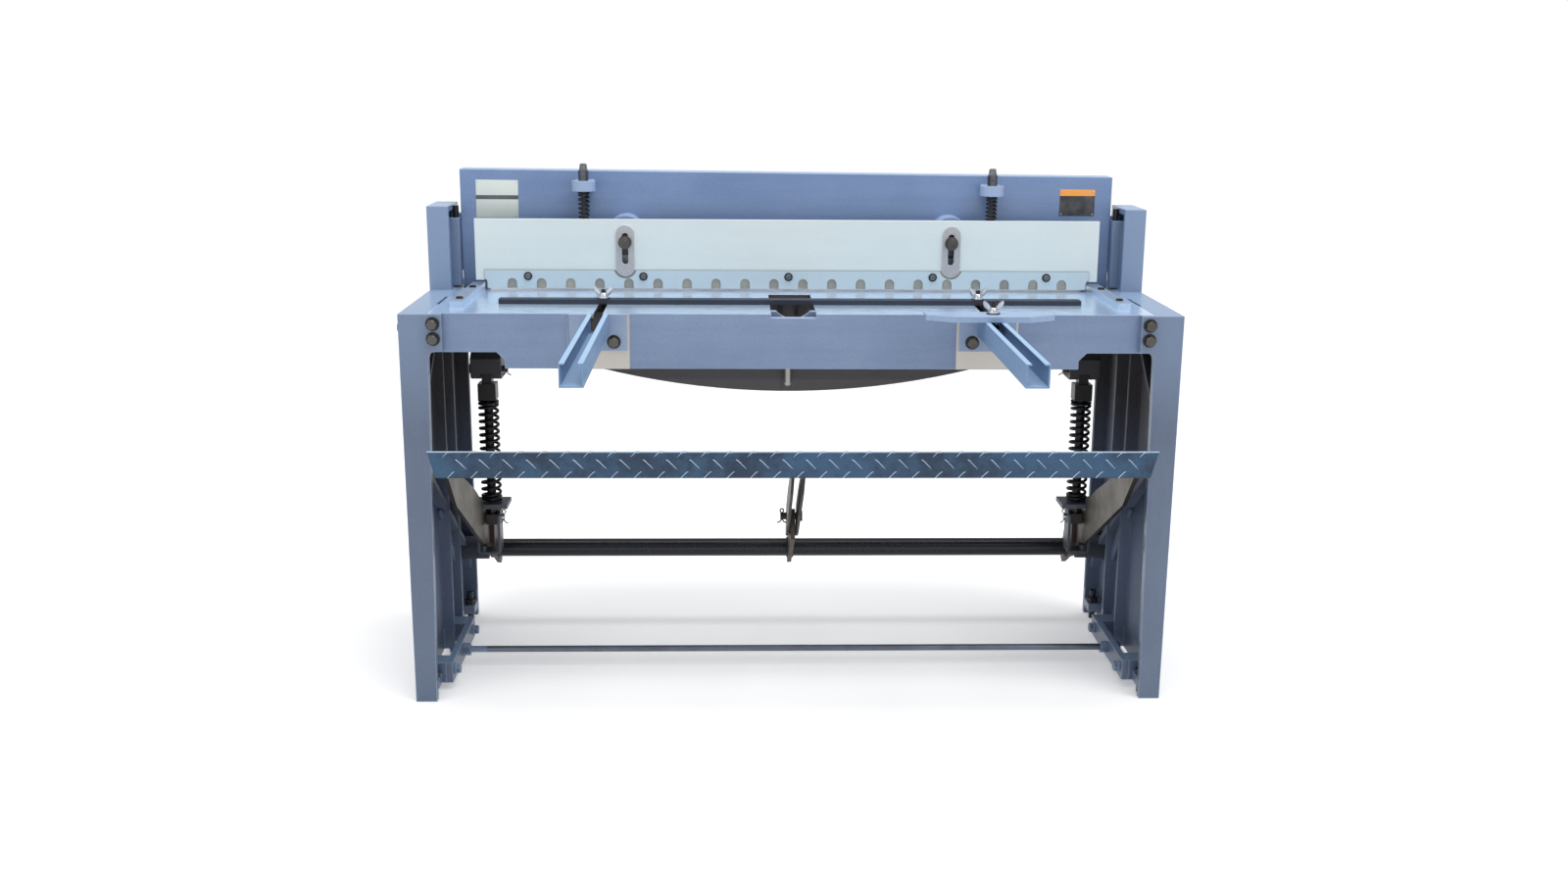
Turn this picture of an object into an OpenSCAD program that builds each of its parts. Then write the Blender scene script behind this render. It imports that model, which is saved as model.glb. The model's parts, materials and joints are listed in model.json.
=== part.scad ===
// Foot treadle shear for sheet metal.
// The origin is on the floor, at the middle of the space that the machine takes up.
// Inside the modules X = 0 is the middle of the machine, Y = 0 is the front of the legs,
// +Y runs to the back, and Z = 0 is the floor.

/* [Machine] */
// Longest sheet that the blades cut
cut_w = 1320; // [1000:10:1500]
// From the end of the blades to the outer face of a side frame
side_margin = 120; // [116:1:150]
// Height of the table above the floor
table_h = 815; // [790:1:860]
// Depth of the side frames
frame_d = 550; // [546:1:620]

/* [Side frames] */
// Thickness of the front and rear flanges
flange_t = 16; // [12:1:20]
// Thickness of the outer web
web_t = 12; // [9:1:14]
// Width of the front flange at the floor
flange_foot_w = 43; // [38:1:50]
// Width of the front flange under the pad
flange_top_w = 57; // [54:1:60]
// Width of the front pad that the bed is bolted to
pad_w = 85; // [80:1:92]
// Height of the front pad
pad_h = 75; // [66:1:82]
// Width of the seam between the shoulder and the bed
seam_w = 6; // [4:0.5:10]
// Thickness of the top shoulder
shoulder_t = 14; // [10:1:18]
// Thickness of the inner ribs
rib_t = 12; // [8:1:14]
// How far the ribs stand out from the web
rib_depth = 23; // [16:1:28]
// Length of the front foot
foot_front_l = 45; // [40:1:52]
// Length of the rear foot
foot_rear_l = 95; // [84:1:110]
// Height of the gap between the feet
arch_h = 16; // [10:1:17]

/* [Posts] */
// Width of a post
post_w = 46; // [42:1:50]
// From the front of a post to the back of the side frames
post_back = 210; // [206:1:214]
// Depth of a post
post_d = 126; // [120:1:134]
// Height of a post above the table
post_h = 181; // [176:1:200]
// Thickness of the post's walls
post_wall = 12; // [9:1:13]
// Height of the gib above the table
gib_h = 152; // [130:1:165]
// Width of the gib
gib_w = 19; // [17:1:22]
// Depth of the gib
gib_d = 28; // [22:1:31]

/* [Bed] */
// Thickness of the table plate
table_t = 20; // [16:1:24]
// From the rear face of the bed to the back of the side frames
bed_back = 170; // [169:1:172]
// Height of the apron between the rods
apron_h = 111; // [104:1:120]
// Height of the apron at its ends
apron_end_h = 78; // [76:1:92]
// Length of the shallow part at each end of the apron
apron_end_l = 148; // [136:1:156]
// Thickness of the apron
apron_t = 16; // [12:1:20]
// Depth of the rear web at its middle, from the table down
belly_h = 226; // [200:1:240]
// Depth of the rear web at its ends, from the table down
belly_end_h = 93; // [88:1:110]
// Thickness of the rear web
belly_t = 24; // [18:1:30]
// Width of the hand notch
notch_w = 90; // [80:1:100]
// From the hand notch to the rear face of the bed
notch_back = 90; // [84:1:124]
// Depth of the notch in the apron
notch_lip = 8; // [5:1:12]
// Radius of the half-round dip in the web behind the notch
dip_r = 44; // [38:1:44]
// Width of the machined pads on the apron
pad_face_w = 123; // [118:1:140]
// Height of the machined pads above the apron's face
pad_face_t = 3; // [1:0.5:5]
// Diameter of the stud under the bed
stud_d = 17; // [12:1:22]

/* [Blades] */
// Height of the lower blade
lower_blade_h = 60; // [50:1:66]
// Thickness of both blades
blade_t = 15; // [12:1:15.4]
// Height of the upper blade
upper_blade_h = 60; // [50:1:70]
// Clearance between the blades
blade_gap = 0.5; // [0.3:0.1:1]
// Height of the upper blade's middle above the table, open
blade_open = 10; // [9:0.5:12]
// Drop of the upper blade from left to right over the ram
rake = 10; // [6:0.5:12]

/* [Gauges] */
// Place of the gauge arms and slots, from the middle
arm_x = 388; // [370:1:400]
// Outer size of the gauge arm channel
arm_s = 41; // [36:1:46]
// Wall of the gauge arm channel
arm_wall = 2.5; // [2:0.1:3.5]
// Width of the channel's open top
arm_mouth = 22; // [19:1:26]
// How far the arms reach out in front of the legs
arm_reach = 520; // [400:5:620]
// Width of the slots in the table
slot_w = 18; // [14:1:20]
// How much shorter the front gauge bar is than the cut
gauge_short = 116; // [60:2:320]
// Depth of the front gauge bar
gauge_w = 28; // [24:1:34]
// Thickness of the front gauge bar
gauge_t = 10; // [8:1:12]
// Front edge of the front gauge bar
gauge_y = 138; // [134:1:142]
// Length of the bevel gauge
bevel_l = 252; // [220:2:260]
// Thickness of the bevel gauge
bevel_t = 11; // [8:1:12]
// How far the squaring arms reach behind the bed
square_back = 12; // [6:1:16]
// Width of the squaring arms
square_w = 26; // [22:1:30]
// Thickness of the squaring arms
square_t = 12; // [9:1:12.5]

/* [Ram] */
// Top of the ram above the table
ram_h = 251; // [244:1:270]
// Thickness of the ram's front plate
ram_t = 18; // [14:1:22]
// Thickness of the ram's flanges
ram_flange_t = 16; // [12:1:20]
// Depth of the ram's flanges
ram_flange_d = 60; // [46:1:66]
// Width of the lugs that carry the pull rods
lug_w = 68; // [60:1:72]
// Height of the lug pins under the table
lug_drop = 183; // [178:1:196]
// Place of the clamp rods, from the middle
clamp_x = 445; // [430:1:470]
// Diameter of the clamp rods
clamp_rod_d = 12; // [10:0.5:14]
// Place of the guide bolts, from the middle
guide_x = 355; // [330:1:365]

/* [Hold down] */
// From the front of the hold down to the rear face of the bed
hold_back = 40; // [39:1:42]
// Thickness of the hold down's panel
panel_t = 12; // [9:1:13]
// Top of the hold down above the table
panel_h = 155; // [150:1:158]
// Gap under the hold down when it is up
hold_gap = 6; // [6:0.5:9]
// Height of the finger guard
guard_h = 39; // [34:1:42]
// Thickness of the finger guard
guard_t = 3; // [2:0.5:3]
// Width of a sight notch
sight_w = 20.5; // [16:0.5:26]
// Height of a sight notch
sight_h = 21.5; // [18:0.5:25]
// Distance between sight notches
sight_pitch = 63.2; // [56:0.1:74]

/* [Pull rods] */
// Distance of the pull rods from the outer face of a side frame
rod_inset = 109.5; // [109:0.5:112]
// Distance of the pull rods behind the bed
rod_back = 12; // [10:1:13]
// Diameter of the pull rods
rod_d = 20; // [16:0.5:22]
// Top of the spring seats above the floor
seat_z = 325; // [322:1:330]
// Thickness of the spring seats
seat_t = 10; // [8:1:12]
// Outer diameter of the return springs
return_od = 47.5; // [42:0.5:50]
// Wire of the return springs
return_wire = 7; // [5:0.5:8]
// Turns of the return springs
return_turns = 16.5; // [14.5:1:18.5]
// Diameter of the pins at both ends of a pull rod
pin_d = 14; // [12:0.5:16]

/* [Treadle] */
// From the treadle's pivot to the back of the side frames
pivot_back = 50; // [47:1:52]
// Height of the treadle's pivot above the floor
pivot_z = 180; // [178:1:182]
// Outer diameter of the torque tube
tube_d = 42; // [38:1:46]
// Diameter of the pivot stubs
stub_d = 30; // [26:1:34]
// Thickness of the treadle's arms
lever_t = 9; // [7:0.5:10]
// Height of the tread's front lip
lip_h = 55; // [48:1:62]
// Depth of the tread's top leg
tread_d = 76; // [66:1:86]
// Thickness of the tread plate
tread_t = 5; // [4:0.5:6]

/* [Foot bars] */
// Height of the foot bars
foot_bar_h = 44; // [36:1:48]
// Thickness of the foot bars
foot_bar_t = 14; // [10:1:16]
// Diameter of the tie rod
tie_d = 14; // [11:0.5:16]
// Diameter of the levelling bolts
level_d = 14; // [12:0.5:16]

/* [Hidden] */

$fn = 64;
eps = 1;                 // how far a cut runs past a face
slip = 0.3;              // gap between faces that slide or seat
clear = 6;               // gap between pieces that pass each other
fit = 0.05;              // radial clearance of a running fit

half_w = cut_w / 2 + side_margin;
web_x = half_w - web_t;
y_shift = (arm_reach - frame_d) / 2;
blade_half = cut_w / 2;
bed_rear_y = frame_d - bed_back;
post_y = frame_d - post_back;
hold_y = bed_rear_y - hold_back;
rod_y = bed_rear_y + rod_back;
pivot_y = frame_d - pivot_back;

// Side frame and post
rib_x = web_x - rib_depth;
rib_front_y = bed_rear_y - 116;
rib_rear_y = bed_rear_y - 1;
post_in_x = half_w - post_w;
post_rear_y = post_y + post_d;
rail_y = post_rear_y - post_wall - 14;
gib_y = rail_y - 25.6 - gib_d;
gib_x = half_w - 60.5;
gib_pad_x = gib_x + gib_w;
post_top = table_h + post_h;
pad_top_r = 14;
seam_y0 = bed_rear_y - 244;
seam_y1 = bed_rear_y - 136;

// Bed
bed_half = half_w - flange_top_w;
bed_front_y = flange_t;
deep_half = bed_half - apron_end_l;
end_wall_t = 16;
cross_rib_x = 190;
cross_rib_t = 14;
stud_y = bed_rear_y - 50;
notch_web_y = 56;
notch_web_t = 10;
notch_end_y = bed_rear_y - notch_back;

// Ram and the pieces on it
ram_half = post_in_x - 16;
blade_y = bed_rear_y + blade_t + blade_gap;
ram_y = blade_y + blade_t;
ram_top = table_h + ram_h;
ram_bottom = table_h + blade_open;
tongue_y0 = gib_y + gib_d + slip;
tongue_y1 = rail_y - slip;
boss_y = bed_rear_y - 8;
boss_r = 26;
boss_h = 22;
boss_z = table_h + 210;
guide_z = table_h + 106;
guide_boss_r = 38;
guide_boss_l = 2 * guide_boss_r + 10;
guide_boss_z = ram_bottom + upper_blade_h + rake / 2 + 1;
guide_boss_y = hold_y + panel_t + clear;

// Hold down
hold_z = table_h + hold_gap;
hold_top = table_h + panel_h;
ear_w = 19;
hold_half = blade_half + ear_w;
ear_z = table_h + 23;
hold_rear_y = blade_y - clear;
ledge_z = table_h + 143;
oval_w = 41;
oval_z = table_h + 88;
oval_l = 111;
guide_slot_w = 14;
guide_slot_l = 68;
guard_y = hold_y - guard_t;

// Pull rods
rod_x = half_w - rod_inset;
lug_pin_z = table_h - lug_drop;
lug_bottom = lug_pin_z - 20;
lug_top = lug_bottom + 78;
lug_y0 = rod_y - 25;
tongue_t = 22;
block_top = lug_bottom - 12;
block_bottom = block_top - 37;
block_s = 40;
seat_l = 78;
end_block_w = 25;
end_block_top = seat_z - seat_t - 17;
end_block_h = 24;
end_pin_z = end_block_top - 11;
jam_nut_h = 11;
jam_nut_w = end_block_w + 1;

// Treadle
lever_x0 = rod_x + end_block_w / 2 + 2;
lever_x1 = lever_x0 + lever_t;
stirrup_t = 6;
stirrup_x0 = rod_x - end_block_w / 2 - stirrup_t - 1;
stirrup_x1 = lever_x1 + 4 + stirrup_t;
stirrup_y0 = rod_y - 22;
stirrup_y1 = rod_y + 22;
stirrup_z0 = end_pin_z - 84;
stirrup_top = end_pin_z + 16;
hub_x = lever_x1 + 5;
hub_r = 27;
lip_y = -146;
lip_z = 574;
tread_slope = 16;
centre_x = 14;
centre_gap = 16;
// Gap between the tread and its arms, closed by the welds
weld_gap = 0.6;
// The middle arm runs a little askew, from its pin to the middle of the tread
centre_skew = -0.5;
centre_pin_y = pivot_y - 165;
centre_pin_z = 305;

// Feet
foot_bar_z = 18;
foot_bar_x1 = web_x - 41;
foot_bar_x0 = foot_bar_x1 - foot_bar_t;
foot_bar_y0 = 60;
foot_bar_y1 = frame_d - 200;
foot_boss_l = 46;
tie_y = foot_bar_y0 + (foot_bar_y1 - foot_bar_y0) * 0.48;
tie_z = foot_bar_z + foot_bar_h / 2;
level_x = web_x - 20;
level_ys = [38, frame_d - 50];
level_lug_z = 22;
level_lug_t = 18;
level_lug_w = 26;

// Gauges
slot_end_y = 176;
gauge_l = cut_w - gauge_short;
bracket_w = 114;
bracket_t = 6;
bracket_h = 73;
bracket_y0 = bed_front_y - pad_face_t - bracket_t;
square_x = blade_half + 8;
square_y = 92;
square_l = bed_rear_y + square_back - square_y;
bevel_stud_y = -46;
bolt_d = 10;

// Cast paint, pale paint, dark steel, bare steel and bright zinc
paint = [0.45, 0.53, 0.66];
pale = [0.83, 0.89, 0.88];
black = [0.1, 0.1, 0.11];
steel = [0.62, 0.62, 0.62];
brown = [0.45, 0.42, 0.38];
zinc = [0.8, 0.82, 0.84];

// How much the rake lifts a point of the ram at x
function rake_at(x) = -x * rake / (2 * ram_half);
// Height of the line through a and b at y
function on_line(a, b, y) = a[1] + (b[1] - a[1]) * (y - a[0]) / (b[0] - a[0]);

// A box between two opposite corners
module box(a, b) {
    translate(a) cube([b[0] - a[0], b[1] - a[1], b[2] - a[2]]);
}

// A side view outline in Y and Z, from x0 to x1
module along_x(x0, x1) {
    translate([x0, 0, 0]) rotate([90, 0, 90]) linear_extrude(x1 - x0) children();
}

// A front view outline in X and Z, from y0 to y1
module along_y(y0, y1) {
    translate([0, y1, 0]) rotate([90, 0, 0]) linear_extrude(y1 - y0) children();
}

// A round bar along X at y and z
module bar_x(x0, x1, y, z, d) {
    translate([x0, y, z]) rotate([0, 90, 0]) cylinder(h = x1 - x0, d = d);
}

// A round bar along Y at x and z
module bar_y(y0, y1, x, z, d) {
    translate([x, y0, z]) rotate([-90, 0, 0]) cylinder(h = y1 - y0, d = d);
}

// A round bar along Z at x and y
module bar_z(z0, z1, x, y, d) {
    translate([x, y, z0]) cylinder(h = z1 - z0, d = d);
}

// A hexagon nut or head along Z, with its width over the flats
module hex_z(z0, z1, x, y, flats) {
    translate([x, y, z0]) cylinder(h = z1 - z0, d = flats / cos(30), $fn = 6);
}

// A straight strip of width w from a to b, in the plane
module strip(a, b, w) {
    d = b - a;
    translate(a) rotate(atan2(d[1], d[0])) translate([0, -w / 2]) square([norm(d), w]);
}

// A vertical slot with round ends, w wide and l long, about a centre
module obround(w, l) {
    square([w, l - w], center = true);
    for (s = [-1, 1]) translate([0, s * (l - w) / 2]) circle(d = w);
}

// A coil of round wire about Z, from z0 to z1 over its outside, as a swept tube
module coil(x, y, z0, z1, od, wire, turns, steps, sides) {
    r = (od - wire) / 2;
    n = round(turns * steps);
    rise = z1 - z0 - wire;
    // Closed end turns: the pitch grows over the first turn and shrinks over the last
    closed = 0.75;
    function lift(t) = let (u = t * turns)
        u < closed ? u * wire
        : u > turns - closed ? rise - (turns - u) * wire
        : closed * wire + (u - closed) * (rise - 2 * closed * wire) / (turns - 2 * closed);
    points = [for (i = [0:n], k = [0:sides - 1])
        let (t = i / n, a = 360 * turns * t, b = 360 * k / sides, q = r + wire / 2 * cos(b))
        [q * cos(a), q * sin(a), z0 + wire / 2 + lift(t) + wire / 2 * sin(b)]];
    walls = [for (i = [0:n - 1], k = [0:sides - 1])
        let (a = i * sides + k, b = i * sides + (k + 1) % sides)
        [a, a + sides, b + sides, b]];
    caps = [[for (k = [0:sides - 1]) k], [for (k = [sides - 1:-1:0]) n * sides + k]];
    translate([x, y, 0]) polyhedron(points, concat(walls, caps), convexity = 10);
}

// One side frame casting, built as the right one

module side_frame_web() {
    along_x(web_x, half_w) polygon([
        [0, 0], [foot_front_l, 0], [foot_front_l + arch_h, arch_h],
        [frame_d - foot_rear_l - arch_h, arch_h], [frame_d - foot_rear_l, 0],
        [frame_d, 0], [frame_d, table_h], [0, table_h]
    ]);
}

module side_frame_flanges() {
    pad_z = table_h - pad_h;
    flange_x = half_w - flange_top_w;
    along_y(0, flange_t) {
        polygon([
            [half_w - eps, 0], [half_w - flange_foot_w, 0], [flange_x, pad_z],
            [flange_x, table_h], [half_w - eps, table_h]
        ]);
        translate([half_w - pad_w, pad_z]) square([pad_w - eps, pad_h]);
        difference() {
            translate([flange_x - pad_top_r, pad_z - pad_top_r]) square(pad_top_r + eps);
            translate([flange_x - pad_top_r, pad_z - pad_top_r]) circle(r = pad_top_r);
        }
    }
    box([half_w - flange_foot_w, frame_d - flange_t, 0], [half_w - eps, frame_d, table_h]);
    difference() {
        box([flange_x, 0, table_h - shoulder_t], [half_w - eps, frame_d, table_h]);
        box([flange_x - eps, seam_y0, table_h - shoulder_t - eps],
            [flange_x + seam_w, seam_y1, table_h + eps]);
    }
}

module side_frame_ribs() {
    rib_z = table_h - shoulder_t;
    for (y = [rib_front_y, rib_rear_y])
        box([rib_x, y, arch_h], [web_x + eps, y + rib_t, rib_z + eps]);
    along_x(rib_x + 2, web_x + eps) intersection() {
        union() {
            strip([flange_t, 520], [pivot_y, pivot_z], rib_t);
            strip([flange_t, 560], [rib_front_y, table_h - 45], rib_t);
            strip([pivot_y, pivot_z], [frame_d - flange_t, pivot_z - 60], rib_t);
        }
        translate([flange_t - eps, arch_h]) square([frame_d - 2 * flange_t + 2 * eps, rib_z]);
    }
    // Seats that the end walls of the bed are bolted against
    for (y = [40, bed_rear_y - 60])
        box([bed_half, y, table_h - 72], [web_x + eps, y + 46, table_h - shoulder_t + eps]);
}

module side_frame_feet() {
    for (y = [foot_bar_y0, foot_bar_y1 - foot_boss_l])
        box([foot_bar_x1, y, foot_bar_z], [web_x + eps, y + foot_boss_l, foot_bar_z + foot_bar_h]);
    for (y = [[flange_t - eps, foot_bar_y0 - 4], [frame_d - 70, frame_d - flange_t + eps]])
        box([level_x - level_lug_w / 2, y[0], level_lug_z],
            [web_x + eps, y[1], level_lug_z + level_lug_t]);
}

module side_frame_post() {
    difference() {
        box([post_in_x, post_y, table_h - eps], [half_w, post_rear_y, post_top]);
        box([post_in_x - eps, post_y + post_wall, table_h],
            [web_x, rail_y, post_top - post_wall]);
    }
    box([gib_pad_x, gib_y, table_h - eps], [web_x + eps, gib_y + gib_d, table_h + gib_h]);
}

module side_frame() {
    color(paint) difference() {
        union() {
            side_frame_web();
            side_frame_flanges();
            side_frame_ribs();
            side_frame_feet();
            side_frame_post();
            bar_x(hub_x, web_x + eps, pivot_y, pivot_z, 2 * hub_r);
        }
        bar_x(hub_x - eps, web_x, pivot_y, pivot_z, stub_d + 2 * fit);
        for (y = level_ys) bar_z(-eps, 60, level_x, y, level_d + 2 * slip);
    }
}

module left_side_frame() {
    mirror([1, 0, 0]) side_frame();
}

module right_side_frame() {
    side_frame();
}

// Bed casting

module apron_outline() {
    r = 16;
    deep_z = table_h - apron_h;
    end_z = table_h - apron_end_h;
    polygon([
        [-bed_half, end_z], [-deep_half - r, end_z], [-deep_half, end_z - r],
        [-deep_half, deep_z], [deep_half, deep_z], [deep_half, end_z - r],
        [deep_half + r, end_z], [bed_half, end_z], [bed_half, table_h], [-bed_half, table_h]
    ]);
}

module belly_outline() {
    rise = belly_h - belly_end_h;
    reach = rod_x - 10;
    r = (reach * reach + rise * rise) / (2 * rise);
    intersection() {
        translate([0, table_h - belly_h + r]) circle(r = r, $fn = 200);
        translate([-bed_half, table_h - belly_h - eps]) square([2 * bed_half, belly_h]);
    }
}

module bed_webs() {
    top_z = table_h - table_t + eps;
    rib_z = table_h - belly_end_h + 14;
    for (s = [-1, 1]) {
        x0 = s > 0 ? bed_half - end_wall_t : -bed_half;
        box([x0, bed_front_y, table_h - apron_end_h], [x0 + end_wall_t, bed_rear_y, top_z]);
        rx = s * cross_rib_x - cross_rib_t / 2;
        box([rx, bed_front_y + 2, rib_z], [rx + cross_rib_t, bed_rear_y - 2, top_z]);
        dx = s * (deep_half - 24) - cross_rib_t / 2;
        box([dx, bed_front_y + 2, rib_z], [dx + cross_rib_t, bed_rear_y - 2, top_z]);
    }
    // Web across the hand notch
    box([-notch_w / 2 - 12, notch_web_y, table_h - 75],
        [notch_w / 2 + 12, notch_web_y + notch_web_t, table_h - 2]);
    bar_z(table_h - 74, top_z, 0, stud_y, 42);
}

module bed() {
    belly_y = bed_rear_y - belly_t;
    color(paint) difference() {
        union() {
            box([-bed_half, bed_front_y, table_h - table_t], [bed_half, bed_rear_y, table_h]);
            along_y(bed_front_y, bed_front_y + apron_t) apron_outline();
            along_y(belly_y, bed_rear_y) belly_outline();
            bed_webs();
            for (s = [-1, 1]) translate([s * arm_x, 0, 0])
                box([-pad_face_w / 2, bed_front_y - pad_face_t, table_h - apron_h],
                    [pad_face_w / 2, bed_front_y + eps, table_h]);
        }
        // Hand notch through the table, and its lip in the apron
        box([-notch_w / 2, bed_front_y - eps, table_h - notch_lip],
            [notch_w / 2, notch_web_y, table_h + eps]);
        for (y = [[bed_front_y + apron_t, notch_web_y], [notch_web_y + notch_web_t, notch_end_y]])
            box([-notch_w / 2, y[0], table_h - table_t - eps], [notch_w / 2, y[1], table_h + eps]);
        bar_y(notch_web_y - eps, notch_web_y + notch_web_t + eps, 0,
              table_h + dip_r - 16, 2 * dip_r);
        // Slots for the gauge bolts, wider below for their heads
        for (s = [-1, 1]) {
            box([s * arm_x - slot_w / 2, 0, table_h - table_t - eps],
                [s * arm_x + slot_w / 2, slot_end_y, table_h + eps]);
            box([s * arm_x - slot_w / 2 - 6, 0, table_h - arm_s],
                [s * arm_x + slot_w / 2 + 6, slot_end_y, table_h - 9]);
        }
        // Ledge for the lower blade
        box([-blade_half - 2, bed_rear_y - slip, table_h - lower_blade_h - 2],
            [blade_half + 2, bed_rear_y + eps, table_h + eps]);
        // Thread for the stud
        bar_z(0, table_h - 30, 0, stud_y, stud_d);
    }
}

module bed_stud() {
    color(steel) {
        bar_z(table_h - belly_h + 26, table_h - 30, 0, stud_y, stud_d);
        translate([0, stud_y, table_h - belly_h + 26]) sphere(d = stud_d);
    }
}

module lower_blade() {
    color(steel) box([-blade_half, bed_rear_y - slip, table_h - lower_blade_h],
                     [blade_half, bed_rear_y + blade_t, table_h]);
}

module squaring_arm() {
    top_z = table_h + square_t;
    color(steel) difference() {
        box([square_x, square_y, table_h], [square_x + square_w, square_y + square_l, top_z]);
        for (y = [square_y + square_l * 0.15, square_y + square_l * 0.707])
            bar_z(top_z - 5, top_z + eps, square_x + square_w / 2, y, 17);
    }
}

module left_squaring_arm() {
    mirror([1, 0, 0]) squaring_arm();
}

module right_squaring_arm() {
    squaring_arm();
}

// Channel with its open side up, centred on X
module channel_outline() {
    z0 = table_h - arm_s;
    difference() {
        translate([-arm_s / 2, z0]) square(arm_s);
        translate([-arm_s / 2 + arm_wall, z0 + arm_wall]) square(arm_s - 2 * arm_wall);
        translate([-arm_mouth / 2, z0 + arm_s / 2]) square([arm_mouth, arm_s]);
    }
}

module gauge_arm() {
    color(paint) translate([arm_x, 0, 0])
        along_y(-arm_reach, bracket_y0) channel_outline();
}

module left_gauge_arm() {
    mirror([1, 0, 0]) gauge_arm();
}

module right_gauge_arm() {
    gauge_arm();
}

module gauge_brackets() {
    inner_w = arm_s - 2 * arm_wall;
    color(paint) for (s = [-1, 1]) translate([s * arm_x, 0, 0]) difference() {
        box([-bracket_w / 2, bracket_y0, table_h - bracket_h],
            [bracket_w / 2, bracket_y0 + bracket_t, table_h]);
        box([-slot_w / 2 - 6, bracket_y0 - eps, table_h - inner_w],
            [slot_w / 2 + 6, bracket_y0 + 2 * bracket_t, table_h + eps]);
    }
}

// Feet

module foot_bar() {
    color(paint) difference() {
        box([foot_bar_x0, foot_bar_y0, foot_bar_z],
            [foot_bar_x1, foot_bar_y1, foot_bar_z + foot_bar_h]);
        bar_x(foot_bar_x0 - eps, foot_bar_x1 + eps, tie_y, tie_z, tie_d + 2 * slip);
    }
}

module left_foot_bar() {
    mirror([1, 0, 0]) foot_bar();
}

module right_foot_bar() {
    foot_bar();
}

module tie_rod() {
    nut_l = 12;
    end_x = foot_bar_x1 + nut_l + 4;
    color(steel) {
        bar_x(-end_x, end_x, tie_y, tie_z, tie_d);
        for (s = [-1, 1], x = [foot_bar_x0 - nut_l, foot_bar_x1])
            translate([s * (x + nut_l / 2), tie_y, tie_z]) rotate([0, 90, 0])
                cylinder(h = nut_l, d = (tie_d + 8) / cos(30), center = true, $fn = 6);
    }
}

module levelling_bolts() {
    color(black) for (s = [-1, 1], i = [0, 1]) {
        lug_z = level_lug_z + level_lug_t;
        bar_z(0, lug_z + 30, s * level_x, level_ys[i], level_d);
        hex_z(lug_z, lug_z + 12, s * level_x, level_ys[i], level_d + 8);
    }
}

module gibs() {
    color(steel) for (s = [0, 1]) mirror([s, 0, 0])
        box([gib_x, gib_y, table_h + 4], [gib_pad_x, gib_y + gib_d, table_h + gib_h]);
}

module gib_screws() {
    color(black) for (s = [0, 1]) mirror([s, 0, 0]) {
        bar_z(table_h + gib_h, table_h + gib_h + 26, gib_x + 8, gib_y + gib_d / 2, 13);
    }
}

// Return spring seats and springs

module spring_seat() {
    color(brown) difference() {
        box([rod_x - seat_l / 2, rod_y - 35, seat_z - seat_t], [web_x, rod_y + 35, seat_z]);
        bar_z(seat_z - seat_t - eps, seat_z + eps, rod_x, rod_y, rod_d + 1);
        // The cast rib passes through the plate
        box([rib_x - slip, rib_rear_y - slip, 0],
            [half_w, rib_rear_y + rib_t + slip, table_h]);
    }
}

module left_spring_seat() {
    mirror([1, 0, 0]) spring_seat();
}

module right_spring_seat() {
    spring_seat();
}

module return_spring(side) {
    color(black) coil(side * rod_x, rod_y, seat_z, block_bottom, return_od, return_wire,
                      return_turns, 16, 7);
}

module left_return_spring() {
    return_spring(-1);
}

module right_return_spring() {
    return_spring(1);
}

// Ram casting

// The outline between two heights at the middle, lifted by the rake along its length
module raked(z0, z1, half) {
    polygon([
        [-half, z0 + rake_at(-half)], [half, z0 + rake_at(half)],
        [half, z1 + rake_at(half)], [-half, z1 + rake_at(-half)]
    ]);
}

module ram_lug() {
    x0 = rod_x - lug_w / 2;
    x1 = rod_x + lug_w / 2;
    y1 = ram_y + ram_t + 16;
    difference() {
        union() {
            along_x(x0, x1) polygon([
                [lug_y0 + 8, lug_bottom], [y1, lug_bottom], [y1, lug_top], [ram_y, lug_top],
                [lug_y0, lug_bottom + 46], [lug_y0, lug_bottom + 8]
            ]);
            box([blade_half + 4, ram_y, lug_top - eps], [ram_half, y1, ram_bottom + 40]);
        }
        // Slot for the rod's tongue, open in front only at its foot
        box([rod_x - tongue_t / 2 - 0.8, lug_y0 + 6, lug_bottom - eps],
            [rod_x + tongue_t / 2 + 0.8, y1 + eps, lug_bottom + 50]);
        box([rod_x - tongue_t / 2 - 0.8, lug_y0 - eps, lug_bottom - eps],
            [rod_x + tongue_t / 2 + 0.8, rod_y, lug_bottom + 13]);
        bar_x(x0 - eps, x1 + eps, rod_y, lug_pin_z, pin_d + 2 * slip);
    }
}

module ram_boss(side) {
    x = side * clamp_x;
    z0 = boss_z + rake_at(x);
    difference() {
        union() {
            bar_z(z0, z0 + boss_h, x, boss_y, 2 * boss_r);
            box([x - 20, boss_y, z0], [x + 20, ram_y + eps, z0 + boss_h]);
        }
        bar_z(z0 - eps, z0 + boss_h + eps, x, boss_y, clamp_rod_d + 1);
    }
}

module guide_boss(side) {
    x = side * guide_x;
    difference() {
        along_y(guide_boss_y, ram_y + eps) translate([x, guide_boss_z + guide_boss_l / 2])
            obround(2 * guide_boss_r, guide_boss_l);
        bar_y(guide_boss_y - eps, ram_y + 2 * eps, x, guide_z, 12 + 2 * slip);
    }
}

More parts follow.
